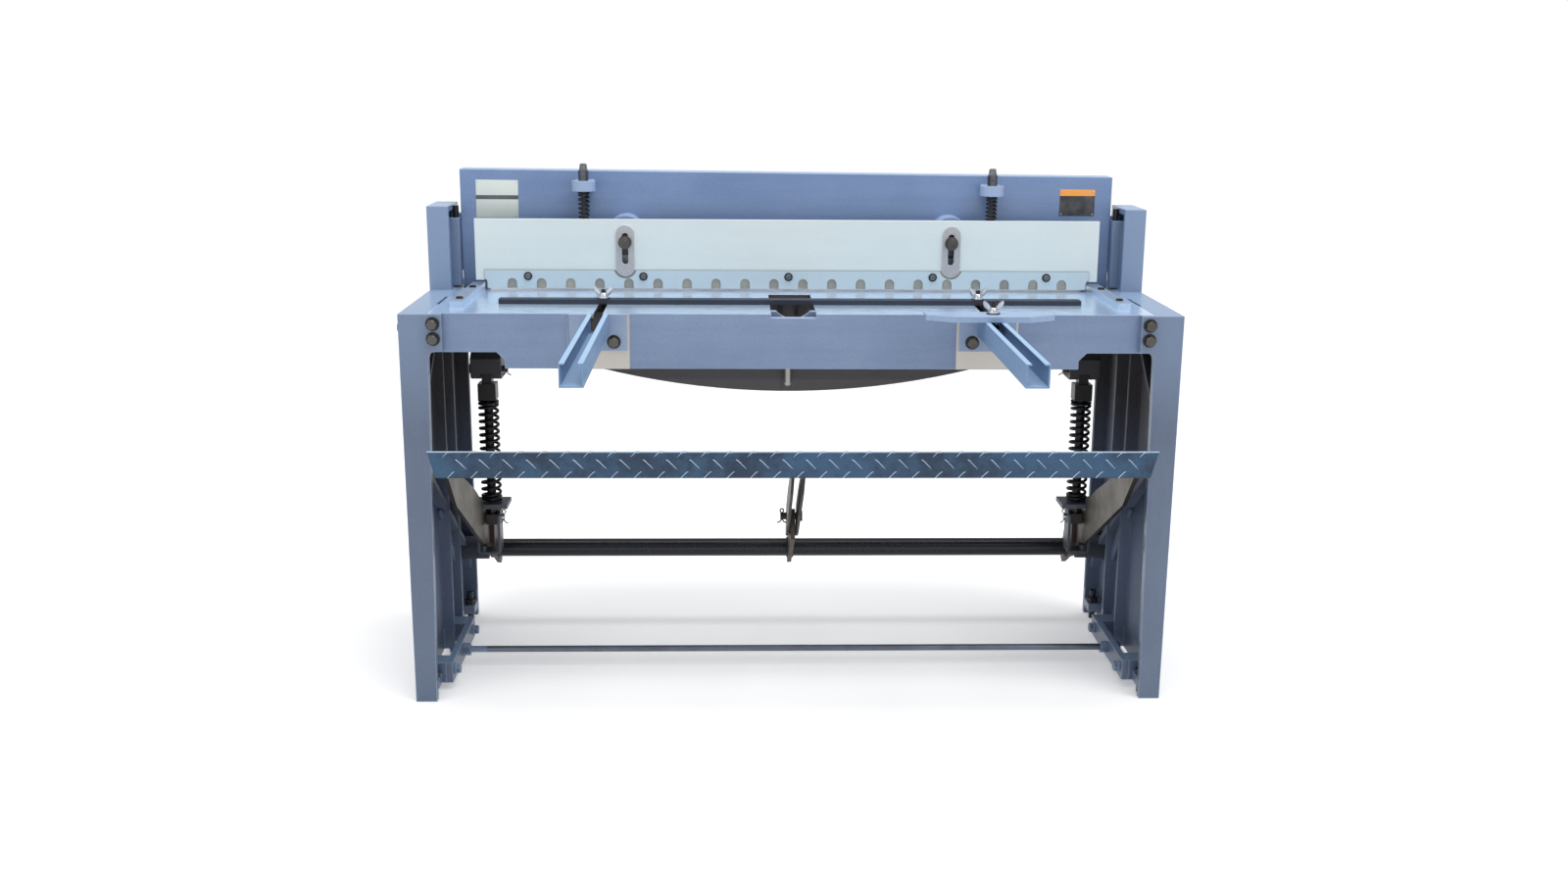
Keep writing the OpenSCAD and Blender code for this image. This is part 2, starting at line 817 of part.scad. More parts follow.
module ram() {
    plate_rear = ram_y + ram_t;
    flange_y1 = ram_y + ram_flange_d;
    tongue_z = table_h + 35;
    color(paint) {
        along_y(ram_y, plate_rear) raked(ram_bottom, ram_top, ram_half);
        along_y(ram_y, flange_y1) raked(ram_top - ram_flange_t, ram_top, ram_half);
        along_y(plate_rear - eps, flange_y1 - 14)
            raked(ram_bottom + 20, ram_bottom + 20 + ram_flange_t, ram_half - 60);
        for (i = [-2, -1, 1, 2]) along_y(plate_rear - eps, flange_y1 - 16)
            translate([i * (ram_half - 80) / 2 - 7, ram_bottom + 24])
                square([14, ram_top - ram_bottom - 30]);
        for (s = [0, 1]) mirror([s, 0, 0]) {
            box([ram_half - eps, tongue_y0, tongue_z],
                [post_in_x + 6, tongue_y1, post_top - post_wall - 9]);
            ram_lug();
        }
        for (s = [-1, 1]) {
            ram_boss(s);
            guide_boss(s);
        }
    }
}

module upper_blade() {
    color(steel) along_y(blade_y, ram_y)
        raked(ram_bottom, ram_bottom + upper_blade_h, blade_half);
}

module guide_bolts() {
    color(black) for (s = [-1, 1]) {
        x = s * guide_x;
        bar_y(guard_y - slip - 4, guard_y - slip, x, guide_z, 29);
        bar_y(guard_y - slip - 14, guard_y - slip - 4, x, guide_z, 20);
        bar_y(guard_y - slip, ram_y, x, guide_z, 12);
    }
}

module lug_pins() {
    color(black) for (s = [0, 1]) mirror([s, 0, 0]) {
        bar_x(rod_x - lug_w / 2 - 12, rod_x + lug_w / 2 + 5, rod_y, lug_pin_z, pin_d);
        bar_x(rod_x + lug_w / 2, rod_x + lug_w / 2 + 5, rod_y, lug_pin_z, pin_d + 8);
    }
}

module pull_rod() {
    color(black) difference() {
        union() {
            box([rod_x - tongue_t / 2, rod_y - 15, block_top - eps],
                [rod_x + tongue_t / 2, rod_y + 15, lug_pin_z + 15]);
            box([rod_x - block_s / 2, rod_y - block_s / 2, block_bottom],
                [rod_x + block_s / 2, rod_y + block_s / 2, block_top]);
            bar_z(end_block_top, block_bottom + eps, rod_x, rod_y, rod_d);
            translate([rod_x, rod_y, end_block_top]) rotate(30)
                hex_z(0, jam_nut_h, 0, 0, jam_nut_w);
            box([rod_x - end_block_w / 2, rod_y - 20, end_block_top - end_block_h],
                [rod_x + end_block_w / 2, rod_y + 20, end_block_top]);
        }
        bar_x(0, half_w, rod_y, lug_pin_z, pin_d + 2 * slip);
        bar_x(0, half_w, rod_y, end_pin_z, pin_d + 2 * slip);
    }
}

module left_pull_rod() {
    mirror([1, 0, 0]) pull_rod();
}

module right_pull_rod() {
    pull_rod();
}

module stirrup_side() {
    r = 12;
    difference() {
        union() {
            translate([stirrup_y0, stirrup_z0])
                square([stirrup_y1 - stirrup_y0, stirrup_top - r - stirrup_z0]);
            translate([stirrup_y0 + r, stirrup_z0])
                square([stirrup_y1 - stirrup_y0 - 2 * r, stirrup_top - stirrup_z0]);
            for (y = [stirrup_y0 + r, stirrup_y1 - r]) translate([y, stirrup_top - r]) circle(r = r);
        }
        translate([rod_y, end_pin_z]) circle(d = pin_d + 2 * slip);
    }
}

module stirrup() {
    r = 8;
    color(black) intersection() {
        union() {
            along_x(stirrup_x0, stirrup_x0 + stirrup_t) stirrup_side();
            along_x(stirrup_x1 - stirrup_t, stirrup_x1) stirrup_side();
            box([stirrup_x0, stirrup_y0, stirrup_z0], [stirrup_x1, stirrup_y1, stirrup_z0 + stirrup_t]);
        }
        // Rounded lower corners of the bent strip
        along_y(stirrup_y0, stirrup_y1) {
            translate([stirrup_x0, stirrup_z0 + r])
                square([stirrup_x1 - stirrup_x0, stirrup_top - stirrup_z0]);
            translate([stirrup_x0 + r, stirrup_z0]) square([stirrup_x1 - stirrup_x0 - 2 * r, 2 * r]);
            for (x = [stirrup_x0 + r, stirrup_x1 - r]) translate([x, stirrup_z0 + r]) circle(r = r);
        }
    }
}

module left_stirrup() {
    mirror([1, 0, 0]) stirrup();
}

module right_stirrup() {
    stirrup();
}

module stirrup_pins() {
    color(black) for (s = [0, 1]) mirror([s, 0, 0]) {
        bar_x(stirrup_x0 - 8, stirrup_x1, rod_y, end_pin_z, pin_d);
        bar_x(stirrup_x1, stirrup_x1 + 7, rod_y, end_pin_z, pin_d + 7);
    }
}

// Hold down, with its rods and springs

module hold_down() {
    foot_half = blade_half - 4;
    color(pale) difference() {
        union() {
            along_y(hold_y, hold_y + panel_t) polygon([
                [-foot_half, hold_z], [foot_half, hold_z], [foot_half, ear_z],
                [hold_half, ear_z], [hold_half, hold_top], [-hold_half, hold_top],
                [-hold_half, ear_z], [-foot_half, ear_z]
            ]);
            box([-foot_half, hold_y, hold_z], [foot_half, hold_rear_y, hold_z + 14]);
            for (s = [-1, 1]) {
                translate([s * clamp_x, 0, 0]) {
                    box([-24, hold_y + eps, ledge_z - 20], [24, hold_rear_y, ledge_z]);
                    along_x(-6, 6) polygon([
                        [hold_y + eps, hold_z + 12], [hold_rear_y - 2, hold_z + 12],
                        [hold_y + panel_t + 16, ledge_z - 60], [hold_rear_y - 2, ledge_z - 18],
                        [hold_y + eps, ledge_z - 18]
                    ]);
                }
                along_y(guard_y, hold_y + eps) translate([s * guide_x, oval_z])
                    obround(oval_w, oval_l);
            }
        }
        for (s = [-1, 1]) along_y(guard_y - eps, hold_y + panel_t + eps)
            translate([s * guide_x, table_h + 92]) obround(guide_slot_w, guide_slot_l);
        for (s = [-1, 1])
            bar_z(ledge_z - 16, ledge_z + eps, s * clamp_x, boss_y, clamp_rod_d + 2 * fit);
    }
}

module finger_guard() {
    guard_half = blade_half;
    count = floor((guard_half - sight_w) / sight_pitch + 0.5);
    sight_r = sight_w / 2;
    color(pale) along_y(guard_y, hold_y) difference() {
        translate([-guard_half, hold_z]) square([2 * guard_half, guard_h]);
        for (i = [-count - 1:count]) translate([(i + 0.5) * sight_pitch, hold_z]) {
            translate([-sight_r, -eps]) square([sight_w, sight_h - sight_r + eps]);
            translate([0, sight_h - sight_r]) circle(r = sight_r);
        }
        for (s = [-1, 1]) translate([s * guide_x, oval_z]) obround(oval_w + 10, oval_l + 10);
    }
}

module clamp_rods() {
    nut_h = 11;
    color(black) for (s = [-1, 1]) {
        x = s * clamp_x;
        z = boss_z + boss_h + rake_at(x) + slip;
        bar_z(ledge_z - 16, z + 36, x, boss_y, clamp_rod_d);
        hex_z(z, z + nut_h, x, boss_y, clamp_rod_d + 7);
        hex_z(z + nut_h + 0.5, z + 2 * nut_h, x, boss_y, clamp_rod_d + 7);
    }
}

module clamp_spring(side) {
    x = side * clamp_x;
    color(black) coil(x, boss_y, ledge_z, boss_z + rake_at(x), 23, 4, 7.5, 14, 6);
}

module left_clamp_spring() {
    clamp_spring(-1);
}

module right_clamp_spring() {
    clamp_spring(1);
}

// Treadle

module torque_tube() {
    color(black) {
        difference() {
            bar_x(-lever_x0, lever_x0, pivot_y, pivot_z, tube_d);
            bar_x(-lever_x0 + 60, lever_x0 - 60, pivot_y, pivot_z, tube_d - 8);
        }
        for (s = [0, 1]) mirror([s, 0, 0])
            bar_x(lever_x0 - eps, web_x - 4, pivot_y, pivot_z, stub_d);
    }
}

// A line that the lower edges of the arms follow, from the bend to the tip
low_a = [pivot_y - 470, 415];
low_b = [pivot_y + 32, 132];

module lug_outline(front_y, front_top) {
    polygon([
        low_b, [pivot_y + 46, 142], [pivot_y + 26, 212], [pivot_y - 28, 256], front_top,
        [front_y, on_line(low_a, low_b, front_y)]
    ]);
}

module lug_plates() {
    hole = tube_d + 2 * slip;
    color(brown) {
        for (s = [0, 1]) mirror([s, 0, 0]) along_x(lever_x0 - 10, lever_x0) difference() {
            lug_outline(pivot_y - 64, [pivot_y - 60, 276]);
            translate([pivot_y, pivot_z]) circle(d = hole);
        }
        along_x(centre_x - 5, centre_x + 5) difference() {
            lug_outline(centre_pin_y - 22, [centre_pin_y - 12, centre_pin_z + 20]);
            translate([pivot_y, pivot_z]) circle(d = hole);
            translate([centre_pin_y, centre_pin_z]) circle(d = 16 + 2 * slip);
        }
    }
}

// The arm's end that is welded in the corner of the tread
tread_in = [lip_y + tread_t + weld_gap, lip_z - tread_t - 2];
tread_low = [lip_y + tread_t + weld_gap + 6, lip_z - lip_h + 8];

module side_arm_outline() {
    seat_front = rod_y - 35;
    difference() {
        polygon([
            tread_in, tread_low, [-80, tread_low[1]], low_a,
            [rod_y - 40, on_line(low_a, low_b, rod_y - 40)], [rod_y + 32, stirrup_z0 + 13],
            [pivot_y - 4, on_line(low_a, low_b, pivot_y - 4) + 4],
            [pivot_y + 12, 205], [pivot_y - 34, 252], [rod_y + 36, seat_z - seat_t - 15],
            [seat_front - 5, seat_z - seat_t - 7], [seat_front - 5, seat_z + 8],
            [rod_y - 135, 388], [lip_y + tread_d, lip_z - 32]
        ]);
        translate([pivot_y, pivot_z]) circle(d = stub_d + 2 * slip);
        // Slot that gives the pull rod's pin room to move back
        translate([rod_y + 10, end_pin_z - 3]) rotate(90) obround(22, 40);
    }
}

module treadle_arm() {
    color(brown) along_x(lever_x0, lever_x1) side_arm_outline();
}

module left_treadle_arm() {
    mirror([1, 0, 0]) treadle_arm();
}

module right_treadle_arm() {
    treadle_arm();
}

module centre_treadle_arm() {
    color(brown) difference() {
        translate([centre_x, centre_pin_y, 0]) rotate(centre_skew)
            translate([-centre_x, -centre_pin_y, 0]) for (s = [-1, 1]) {
            x = centre_x + s * (centre_gap / 2 + 3);
            along_x(x - 3, x + 3) polygon([
                tread_in, tread_low, [-80, tread_low[1]], [centre_pin_y - 305, 440],
                [centre_pin_y + 5, 262], [centre_pin_y + 73, 236], [centre_pin_y + 79, 248],
                [centre_pin_y + 33, 322], [centre_pin_y - 85, 388], [lip_y + tread_d, lip_z - 32]
            ]);
        }
        // Both plates are bored in line with the pin
        bar_x(centre_x - centre_gap, centre_x + centre_gap, centre_pin_y, centre_pin_z,
              16 + 2 * slip);
    }
}

module centre_pin() {
    x0 = centre_x - centre_gap / 2 - 6;
    // The head clears the askew face of its plate
    x1 = centre_x + centre_gap / 2 + 6.6;
    color(black) {
        bar_x(x0 - 14, x1 + 2, centre_pin_y, centre_pin_z, 16);
        bar_x(x1, x1 + 7, centre_pin_y, centre_pin_z, 24);
    }
}

module tread_outline() {
    fall = tread_d * tan(tread_slope);
    drop = tread_t / cos(tread_slope);
    translate([lip_y, lip_z]) polygon([
        [0, 0], [tread_d, -fall], [tread_d, -fall - drop], [tread_t, -drop - 1],
        [tread_t + 6, -lip_h], [6, -lip_h]
    ]);
}

module tread() {
    half_top = lever_x1 + 12;
    half_low = half_top - 13;
    color(paint) intersection() {
        along_x(-half_top, half_top) tread_outline();
        // The ends are cut back towards the bottom of the lip
        along_y(lip_y - 40, lip_y + tread_d + 20) polygon([
            [-half_low, lip_z - lip_h - eps], [half_low, lip_z - lip_h - eps],
            [half_top, lip_z], [half_top, lip_z + 20], [-half_top, lip_z + 20], [-half_top, lip_z]
        ]);
    }
}

// Gauges

module t_bolt(x, y, top_z, shank) {
    bar_z(table_h - 18, top_z + shank, x, y, bolt_d);
    box([x - 12, y - 8, table_h - 18], [x + 12, y + 8, table_h - 11]);
}

// Wing nut on a flat top at z
module wing_nut(x, y, z) {
    translate([x, y, z]) {
        cylinder(h = 11, d1 = 21, d2 = 15);
        for (s = [0, 1]) mirror([s, 0, 0]) translate([0, -2, 0])
            along_y(0, 4) difference() {
                union() {
                    polygon([[5, 2], [10, 1], [24, 16], [14, 20], [6, 10]]);
                    translate([19, 18]) circle(r = 7);
                }
                translate([6, 20]) circle(r = 5);
            }
    }
}

module front_gauge() {
    color(steel) difference() {
        box([-gauge_l / 2, gauge_y, table_h + slip],
            [gauge_l / 2, gauge_y + gauge_w, table_h + slip + gauge_t]);
        for (s = [-1, 1])
            bar_z(table_h - eps, table_h + 2 * gauge_t, s * arm_x, gauge_y + gauge_w / 2, bolt_d + 1);
    }
}

module front_gauge_clamps() {
    top_z = table_h + slip + gauge_t;
    color(zinc) for (s = [-1, 1]) {
        t_bolt(s * arm_x, gauge_y + gauge_w / 2, top_z, 17);
        wing_nut(s * arm_x, gauge_y + gauge_w / 2, top_z);
    }
}

module bevel_gauge() {
    w = bevel_l / 2;
    color(paint) difference() {
        translate([arm_x - 7, bevel_stud_y, table_h + slip]) linear_extrude(bevel_t) polygon([
            [-w, 26], [-w, -12], [-w + 51, -40], [w - 51, -40], [w, -12], [w, 26]
        ]);
        bar_z(0, 2 * table_h, arm_x, bevel_stud_y, bolt_d + 2 * fit);
    }
}

module bevel_clamp() {
    top_z = table_h + slip + bevel_t + slip;
    color(zinc) {
        t_bolt(arm_x, bevel_stud_y, top_z, 22);
        wing_nut(arm_x, bevel_stud_y, top_z);
    }
}

translate([0, y_shift, 0]) {
    left_side_frame();
    right_side_frame();
    bed();
    lower_blade();
    bed_stud();
    left_squaring_arm();
    right_squaring_arm();
    left_gauge_arm();
    right_gauge_arm();
    gauge_brackets();
    left_foot_bar();
    right_foot_bar();
    tie_rod();
    levelling_bolts();
    gibs();
    gib_screws();
    left_spring_seat();
    right_spring_seat();
    left_return_spring();
    right_return_spring();
    ram();
    upper_blade();
    lug_pins();
    left_pull_rod();
    right_pull_rod();
    left_stirrup();
    right_stirrup();
    stirrup_pins();
    guide_bolts();
    left_clamp_spring();
    right_clamp_spring();
    hold_down();
    finger_guard();
    clamp_rods();
    torque_tube();
    lug_plates();
    left_treadle_arm();
    right_treadle_arm();
    centre_treadle_arm();
    centre_pin();
    tread();
    front_gauge();
    front_gauge_clamps();
    bevel_gauge();
    bevel_clamp();
}
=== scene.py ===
"""The looks of a foot treadle shear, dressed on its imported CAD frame."""

import json
import logging
import math
import random
from dataclasses import dataclass
from enum import Enum

import bmesh
import bpy
from mathutils import Matrix, Vector

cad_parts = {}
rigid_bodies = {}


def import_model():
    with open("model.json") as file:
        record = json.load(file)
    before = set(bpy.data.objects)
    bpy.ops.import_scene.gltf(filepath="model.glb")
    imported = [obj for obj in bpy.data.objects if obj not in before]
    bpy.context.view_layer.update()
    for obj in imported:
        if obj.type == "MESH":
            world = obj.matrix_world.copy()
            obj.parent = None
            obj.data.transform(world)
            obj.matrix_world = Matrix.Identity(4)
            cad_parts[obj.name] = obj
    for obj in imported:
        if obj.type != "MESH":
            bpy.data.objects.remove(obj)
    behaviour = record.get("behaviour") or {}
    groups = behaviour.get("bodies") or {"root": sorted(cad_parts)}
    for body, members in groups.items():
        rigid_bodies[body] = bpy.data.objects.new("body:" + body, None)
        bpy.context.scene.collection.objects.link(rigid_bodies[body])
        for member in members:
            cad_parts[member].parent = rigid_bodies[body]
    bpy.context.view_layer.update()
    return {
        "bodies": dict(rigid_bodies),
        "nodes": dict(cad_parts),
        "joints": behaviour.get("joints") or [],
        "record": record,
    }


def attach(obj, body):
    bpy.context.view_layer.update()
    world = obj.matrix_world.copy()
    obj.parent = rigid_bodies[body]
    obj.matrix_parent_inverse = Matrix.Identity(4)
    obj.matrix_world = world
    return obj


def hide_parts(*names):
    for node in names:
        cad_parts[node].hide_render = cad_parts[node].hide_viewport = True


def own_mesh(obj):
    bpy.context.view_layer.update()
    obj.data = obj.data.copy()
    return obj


LOG = logging.getLogger("shear")
Color = tuple[float, float, float]
SHIFT_Y = -15.0


class Axis(Enum):
    """The direction that a fastener's head points to."""

    RIGHT = (1, 0, 0)
    LEFT = (-1, 0, 0)
    FRONT = (0, -1, 0)
    BACK = (0, 1, 0)
    UP = (0, 0, 1)
    DOWN = (0, 0, -1)


class Body(Enum):
    """The moving bodies of the frame."""

    FRAME = "frame"
    RAM = "ram_body"
    CLAMP = "clamp_body"
    TREADLE = "treadle"
    GAUGE = "front_gauge_body"
    CARRIAGE = "bevel_carriage"
    PLATE = "bevel_plate"


def at(x: float, y: float, z: float) -> Vector:
    """Gives the place, in metres, of a point of the machine in millimetres."""
    return Vector((x, y + SHIFT_Y, z)) * 0.001


def facing(place: Vector, axis: Axis) -> Matrix:
    """Gives the transform that stands a part on a place, with its +Z along axis."""
    turn = Vector((0, 0, 1)).rotation_difference(Vector(axis.value))
    return Matrix.Translation(place) @ turn.to_matrix().to_4x4()


# Shader graphs


class Value:
    """A number on a shader socket, for use in plain arithmetic."""

    def __init__(self, graph: "Graph", socket: bpy.types.NodeSocket) -> None:
        """Keeps the graph and the socket."""
        self.graph = graph
        self.socket = socket

    def _join(self, operation: str, first: "Value | float", second: "Value | float") -> "Value":
        """Adds one Math node on two numbers."""
        node = self.graph.node("ShaderNodeMath", {"operation": operation}, {0: first, 1: second})
        return Value(self.graph, node.outputs[0])

    def __add__(self, other: "Value | float") -> "Value":
        """Adds."""
        return self._join("ADD", self, other)

    def __radd__(self, other: float) -> "Value":
        """Adds to a plain number."""
        return self._join("ADD", other, self)

    def __sub__(self, other: "Value | float") -> "Value":
        """Subtracts."""
        return self._join("SUBTRACT", self, other)

    def __rsub__(self, other: float) -> "Value":
        """Subtracts from a plain number."""
        return self._join("SUBTRACT", other, self)

    def __mul__(self, other: "Value | float") -> "Value":
        """Multiplies."""
        return self._join("MULTIPLY", self, other)

    def __rmul__(self, other: float) -> "Value":
        """Multiplies a plain number."""
        return self._join("MULTIPLY", other, self)

    def __truediv__(self, other: "Value | float") -> "Value":
        """Divides."""
        return self._join("DIVIDE", self, other)

    def above(self, limit: float) -> "Value":
        """Gives 1 where the number is over the limit, else 0."""
        return self._join("GREATER_THAN", self, limit)

    def below(self, limit: float) -> "Value":
        """Gives 1 where the number is under the limit, else 0."""
        return self._join("LESS_THAN", self, limit)

    def sine(self) -> "Value":
        """Gives the sine of the number."""
        return self._join("SINE", self, 0.0)

    def size(self) -> "Value":
        """Gives the number without its sign."""
        return self._join("ABSOLUTE", self, 0.0)

    def between(self, low: float, high: float) -> "Value":
        """Gives 1 where the number lies between two limits, else 0."""
        return self.above(low) * self.below(high)

    def either(self, other: "Value") -> "Value":
        """Gives the larger of two masks."""
        return self._join("MAXIMUM", self, other)

    def within(self, low: float, high: float) -> "Value":
        """Maps low to 0 and high to 1, smoothly, and stays between them.

        Args:
            low: The number that gives 0.
            high: The number that gives 1.

        Returns:
            The mapped number.
        """
        node = self.graph.node("ShaderNodeMapRange", {"interpolation_type": "SMOOTHSTEP"},
                               {0: self, 1: low, 2: high, 3: 0.0, 4: 1.0})
        return Value(self.graph, node.outputs[0])


class Graph:
    """The node tree of one material."""

    def __init__(self, name: str) -> None:
        """Starts an empty material."""
        self.material = bpy.data.materials.new(name)
        self.material.use_nodes = True
        self.tree = self.material.node_tree
        self.tree.nodes.clear()

    def node(self, kind: str, settings: dict | None = None,
             sockets: dict | None = None) -> bpy.types.Node:
        """Adds a node.

        Args:
            kind: The node's type.
            settings: Its properties, set before its sockets.
            sockets: Values or links for its inputs, by name or number.

        Returns:
            The new node.
        """
        node = self.tree.nodes.new(kind)
        for key, value in (settings or {}).items():
            setattr(node, key, value)
        for key, value in (sockets or {}).items():
            socket = node.inputs[key]
            if isinstance(value, Value):
                value = value.socket
            if isinstance(value, bpy.types.NodeSocket):
                self.tree.links.new(value, socket)
            else:
                socket.default_value = value
        return node

    def place(self, scale: tuple[float, float, float] = (1, 1, 1)) -> bpy.types.NodeSocket:
        """Gives the object's own coordinates, stretched by scale."""
        source = self.node("ShaderNodeTexCoord").outputs["Object"]
        if scale == (1, 1, 1):
            return source
        return self.node("ShaderNodeVectorMath", {"operation": "MULTIPLY"},
                         {0: source, 1: scale}).outputs[0]

    def along(self, axis: int) -> Value:
        """Gives the coordinate along one axis, in metres."""
        node = self.node("ShaderNodeSeparateXYZ", None, {0: self.place()})
        return Value(self, node.outputs[axis])

    def noise(self, scale: float, detail: float = 3.0, rough: float = 0.5,
              stretch: tuple[float, float, float] = (1, 1, 1)) -> Value:
        """Gives a noise pattern.

        Args:
            scale: Cells in a metre.
            detail: Octaves.
            rough: Weight of the fine octaves.
            stretch: Scale along each axis.

        Returns:
            The noise, about 0.5.
        """
        node = self.node("ShaderNodeTexNoise", None,
                         {"Vector": self.place(stretch), "Scale": scale, "Detail": detail,
                          "Roughness": rough})
        return Value(self, node.outputs[0])

    def cells(self, scale: float) -> Value:
        """Gives the distance to the nearest of many scattered points."""
        node = self.node("ShaderNodeTexVoronoi", None, {"Vector": self.place(), "Scale": scale})
        return Value(self, node.outputs["Distance"])

    def upward(self) -> Value:
        """Gives how much the surface faces up."""
        normal = self.node("ShaderNodeNewGeometry").outputs["Normal"]
        return Value(self, self.node("ShaderNodeSeparateXYZ", None, {0: normal}).outputs[2])

    def mix(self, factor: Value | float, first: object, second: object) -> bpy.types.NodeSocket:
        """Mixes two colours.

        Args:
            factor: The share of the second colour.
            first: A colour or a colour socket.
            second: A colour or a colour socket.

        Returns:
            The mixed colour.
        """
        pair = [c if isinstance(c, bpy.types.NodeSocket) else (*c, 1.0) for c in (first, second)]
        node = self.node("ShaderNodeMix", {"data_type": "RGBA"},
                         {0: factor, 6: pair[0], 7: pair[1]})
        return node.outputs[2]

    def rounded(self, radius: float) -> bpy.types.NodeSocket:
        """Gives a normal that turns smoothly over edges, by a radius in metres."""
        return self.node("ShaderNodeBevel", {"samples": 4}, {"Radius": radius}).outputs[0]

    def edges(self, normal: bpy.types.NodeSocket) -> Value:
        """Gives 0 on flats and up to 1 over the edges that a rounded normal turns on."""
        flat = self.node("ShaderNodeNewGeometry").outputs["Normal"]
        node = self.node("ShaderNodeVectorMath", {"operation": "DOT_PRODUCT"}, {0: normal, 1: flat})
        return (1.0 - Value(self, node.outputs["Value"])).within(0.01, 0.2)

    def bump(self, height: Value, depth: float,
             normal: bpy.types.NodeSocket | None = None) -> bpy.types.NodeSocket:
        """Gives the normal of a relief.

        Args:
            height: The relief, 0 to 1.
            depth: Its depth in metres.
            normal: The normal that it starts from.

        Returns:
            The new normal.
        """
        sockets = {"Height": height, "Distance": depth, "Strength": 1.0}
        if normal is not None:
            sockets["Normal"] = normal
        return self.node("ShaderNodeBump", None, sockets).outputs[0]

    def finish(self, fixed: dict | None = None, **sockets: object) -> bpy.types.Material:
        """Closes the graph with its shader.

        Args:
            fixed: Plain numbers for further sockets, by name.
            sockets: color, rough, metal, coat and normal.

        Returns:
            The material.
        """
        names = {"color": "Base Color", "rough": "Roughness", "metal": "Metallic",
                 "coat": "Coat Weight", "normal": "Normal"}
        values = {names[k]: v for k, v in sockets.items() if v is not None}
        values.update(fixed or {})
        shader = self.node("ShaderNodeBsdfPrincipled", None, values)
        out = self.node("ShaderNodeOutputMaterial")
        self.tree.links.new(shader.outputs[0], out.inputs[0])
        return self.material


# Finishes


def srgb(red: int, green: int, blue: int) -> tuple[float, float, float]:
    """Turns a colour as a screen shows it, 0 to 255, into the shader's own numbers."""
    return tuple((c / 255 / 12.92) if c < 11 else ((c / 255 + 0.055) / 1.055) ** 2.4
                 for c in (red, green, blue))


@dataclass(frozen=True)
class Enamel:
    """Machine enamel, on a casting or on plate, chipped along its edges, with painted light on its top faces
    and a painted highlight, partly edge wear, along its edges.
    """

    name: str
    color: Color
    shade: Color
    # The colour of the painted highlight along the edges and of the painted light on top faces.
    edge: Color
    rough: float = 0.34
    grain: float = 170.0
    depth: float = 0.00028
    radius: float = 0.0022
    coat: float = 0.25
    # How far the top faces are painted lighter: painted light.
    top_light: float = 0.45
    chipped: float = 0.5
    strokes: tuple[float, float, float] = (1.0, 1.0, 0.08)
    specular: float = 0.5
    zone: "Zone | None" = None
    metal_below: Color = (0.055, 0.05, 0.048)

    def start(self) -> tuple[Graph, object, Value, bpy.types.NodeSocket]:
        """Makes the paint itself.

        Returns:
            The graph, the colour, the roughness and the normal.
        """
        graph = Graph(self.name)
        cloud = graph.noise(3.2, 4, 0.6).within(0.3, 0.72)
        fleck = graph.noise(210, 3, 0.7).within(0.35, 0.7)
        rounded = graph.rounded(self.radius)
        edge = graph.edges(rounded)
        # On the inner side of a side frame the painted edge highlight is left out.
        if self.zone is not None:
            edge = edge * (1.0 - self.zone.inner(graph))
        runs = graph.noise(40, 4, 0.65, self.strokes).within(0.36, 0.76)
        color = graph.mix(cloud * 0.45 + fleck * 0.24 + runs * 0.26, self.color, self.shade)
        # Painted light on the top faces, and a painted highlight, partly edge wear, along the rounded edges.
        top = graph.upward().within(0.55, 0.95)
        color = graph.mix(top * self.top_light, color, self.edge)
        color = graph.mix(edge * 0.75, color, self.edge)
        chips = edge * graph.noise(210, 3, 0.7).within(0.62, 0.66) * self.chipped
        color = graph.mix(chips, color, self.metal_below)
        peel = graph.noise(self.grain, 3, 0.55)
        waves = graph.noise(26, 2, 0.5)
        normal = graph.bump(peel * 0.75 + waves * 1.6 - chips * 0.6, self.depth, rounded)
        rough = self.rough + cloud * 0.1 + fleck * 0.05 + top * 0.08
        return graph, color, rough, normal

    def make(self) -> bpy.types.Material:
        """Makes the material."""
        graph, color, rough, normal = self.start()
        return graph.finish({"Coat Roughness": 0.12, "Coat Weight": self.coat,
                             "Specular IOR Level": self.specular},
                            color=color, rough=rough, normal=normal)


@dataclass(frozen=True)
class CastFinish:
    """Enamel on a casting, with painted shade in its hollows and over its inner side, and painted light on
    its upper parts.
    """

    paint: Enamel
    # Near black painted shade in the zone that no light reaches.
    hollow_shade: Color
    zone: "Zone"
    # Paler blue for the frame's upper parts: painted light.
    pale: Color = srgb(150, 174, 210)
    # Dark blue painted shade over the whole inner side of a side frame.
    inner_shade: Color = (0.076, 0.098, 0.160)
    # Dark red-brown on the downward faces under the pads: painted shade with a painted warm reflection.
    under_pad_shade: Color = (0.075, 0.030, 0.028)

    def make(self) -> bpy.types.Material:
        """Makes the material."""
        graph, color, rough, normal = self.paint.start()
        inside = self.zone.mask(graph)
        # Blotches that vary the painted shade.
        shade_blotches = graph.noise(9, 4, 0.6).within(0.25, 0.8)
        height = graph.along(2)
        # Painted light: paler from the shoulders up and above the table.
        raised = height.within(0.55, 0.78) * 0.24 + height.above(0.8155) * 0.20
        inner = self.zone.inner(graph)
        color = graph.mix(raised, color, self.pale)
        # Painted shade: the whole inner side darkened towards dark blue.
        color = graph.mix(inner * (0.35 + shade_blotches * 0.2), color, self.inner_shade)
        # Painted shade: near black over the zone that no light reaches.
        color = graph.mix(inside * (0.97 - shade_blotches * 0.12), color, self.hollow_shade)
        # Painted shade with a painted warm reflection on the downward faces under the pads.
        below = height.between(0.7385, 0.7435) * graph.upward().below(-0.3)
        color = graph.mix(below * (0.6 + shade_blotches * 0.4), color, self.under_pad_shade)
        return graph.finish({"Coat Roughness": 0.12}, color=color, rough=rough + inner * 0.2,
                            normal=normal, coat=(1.0 - inner) * self.paint.coat)


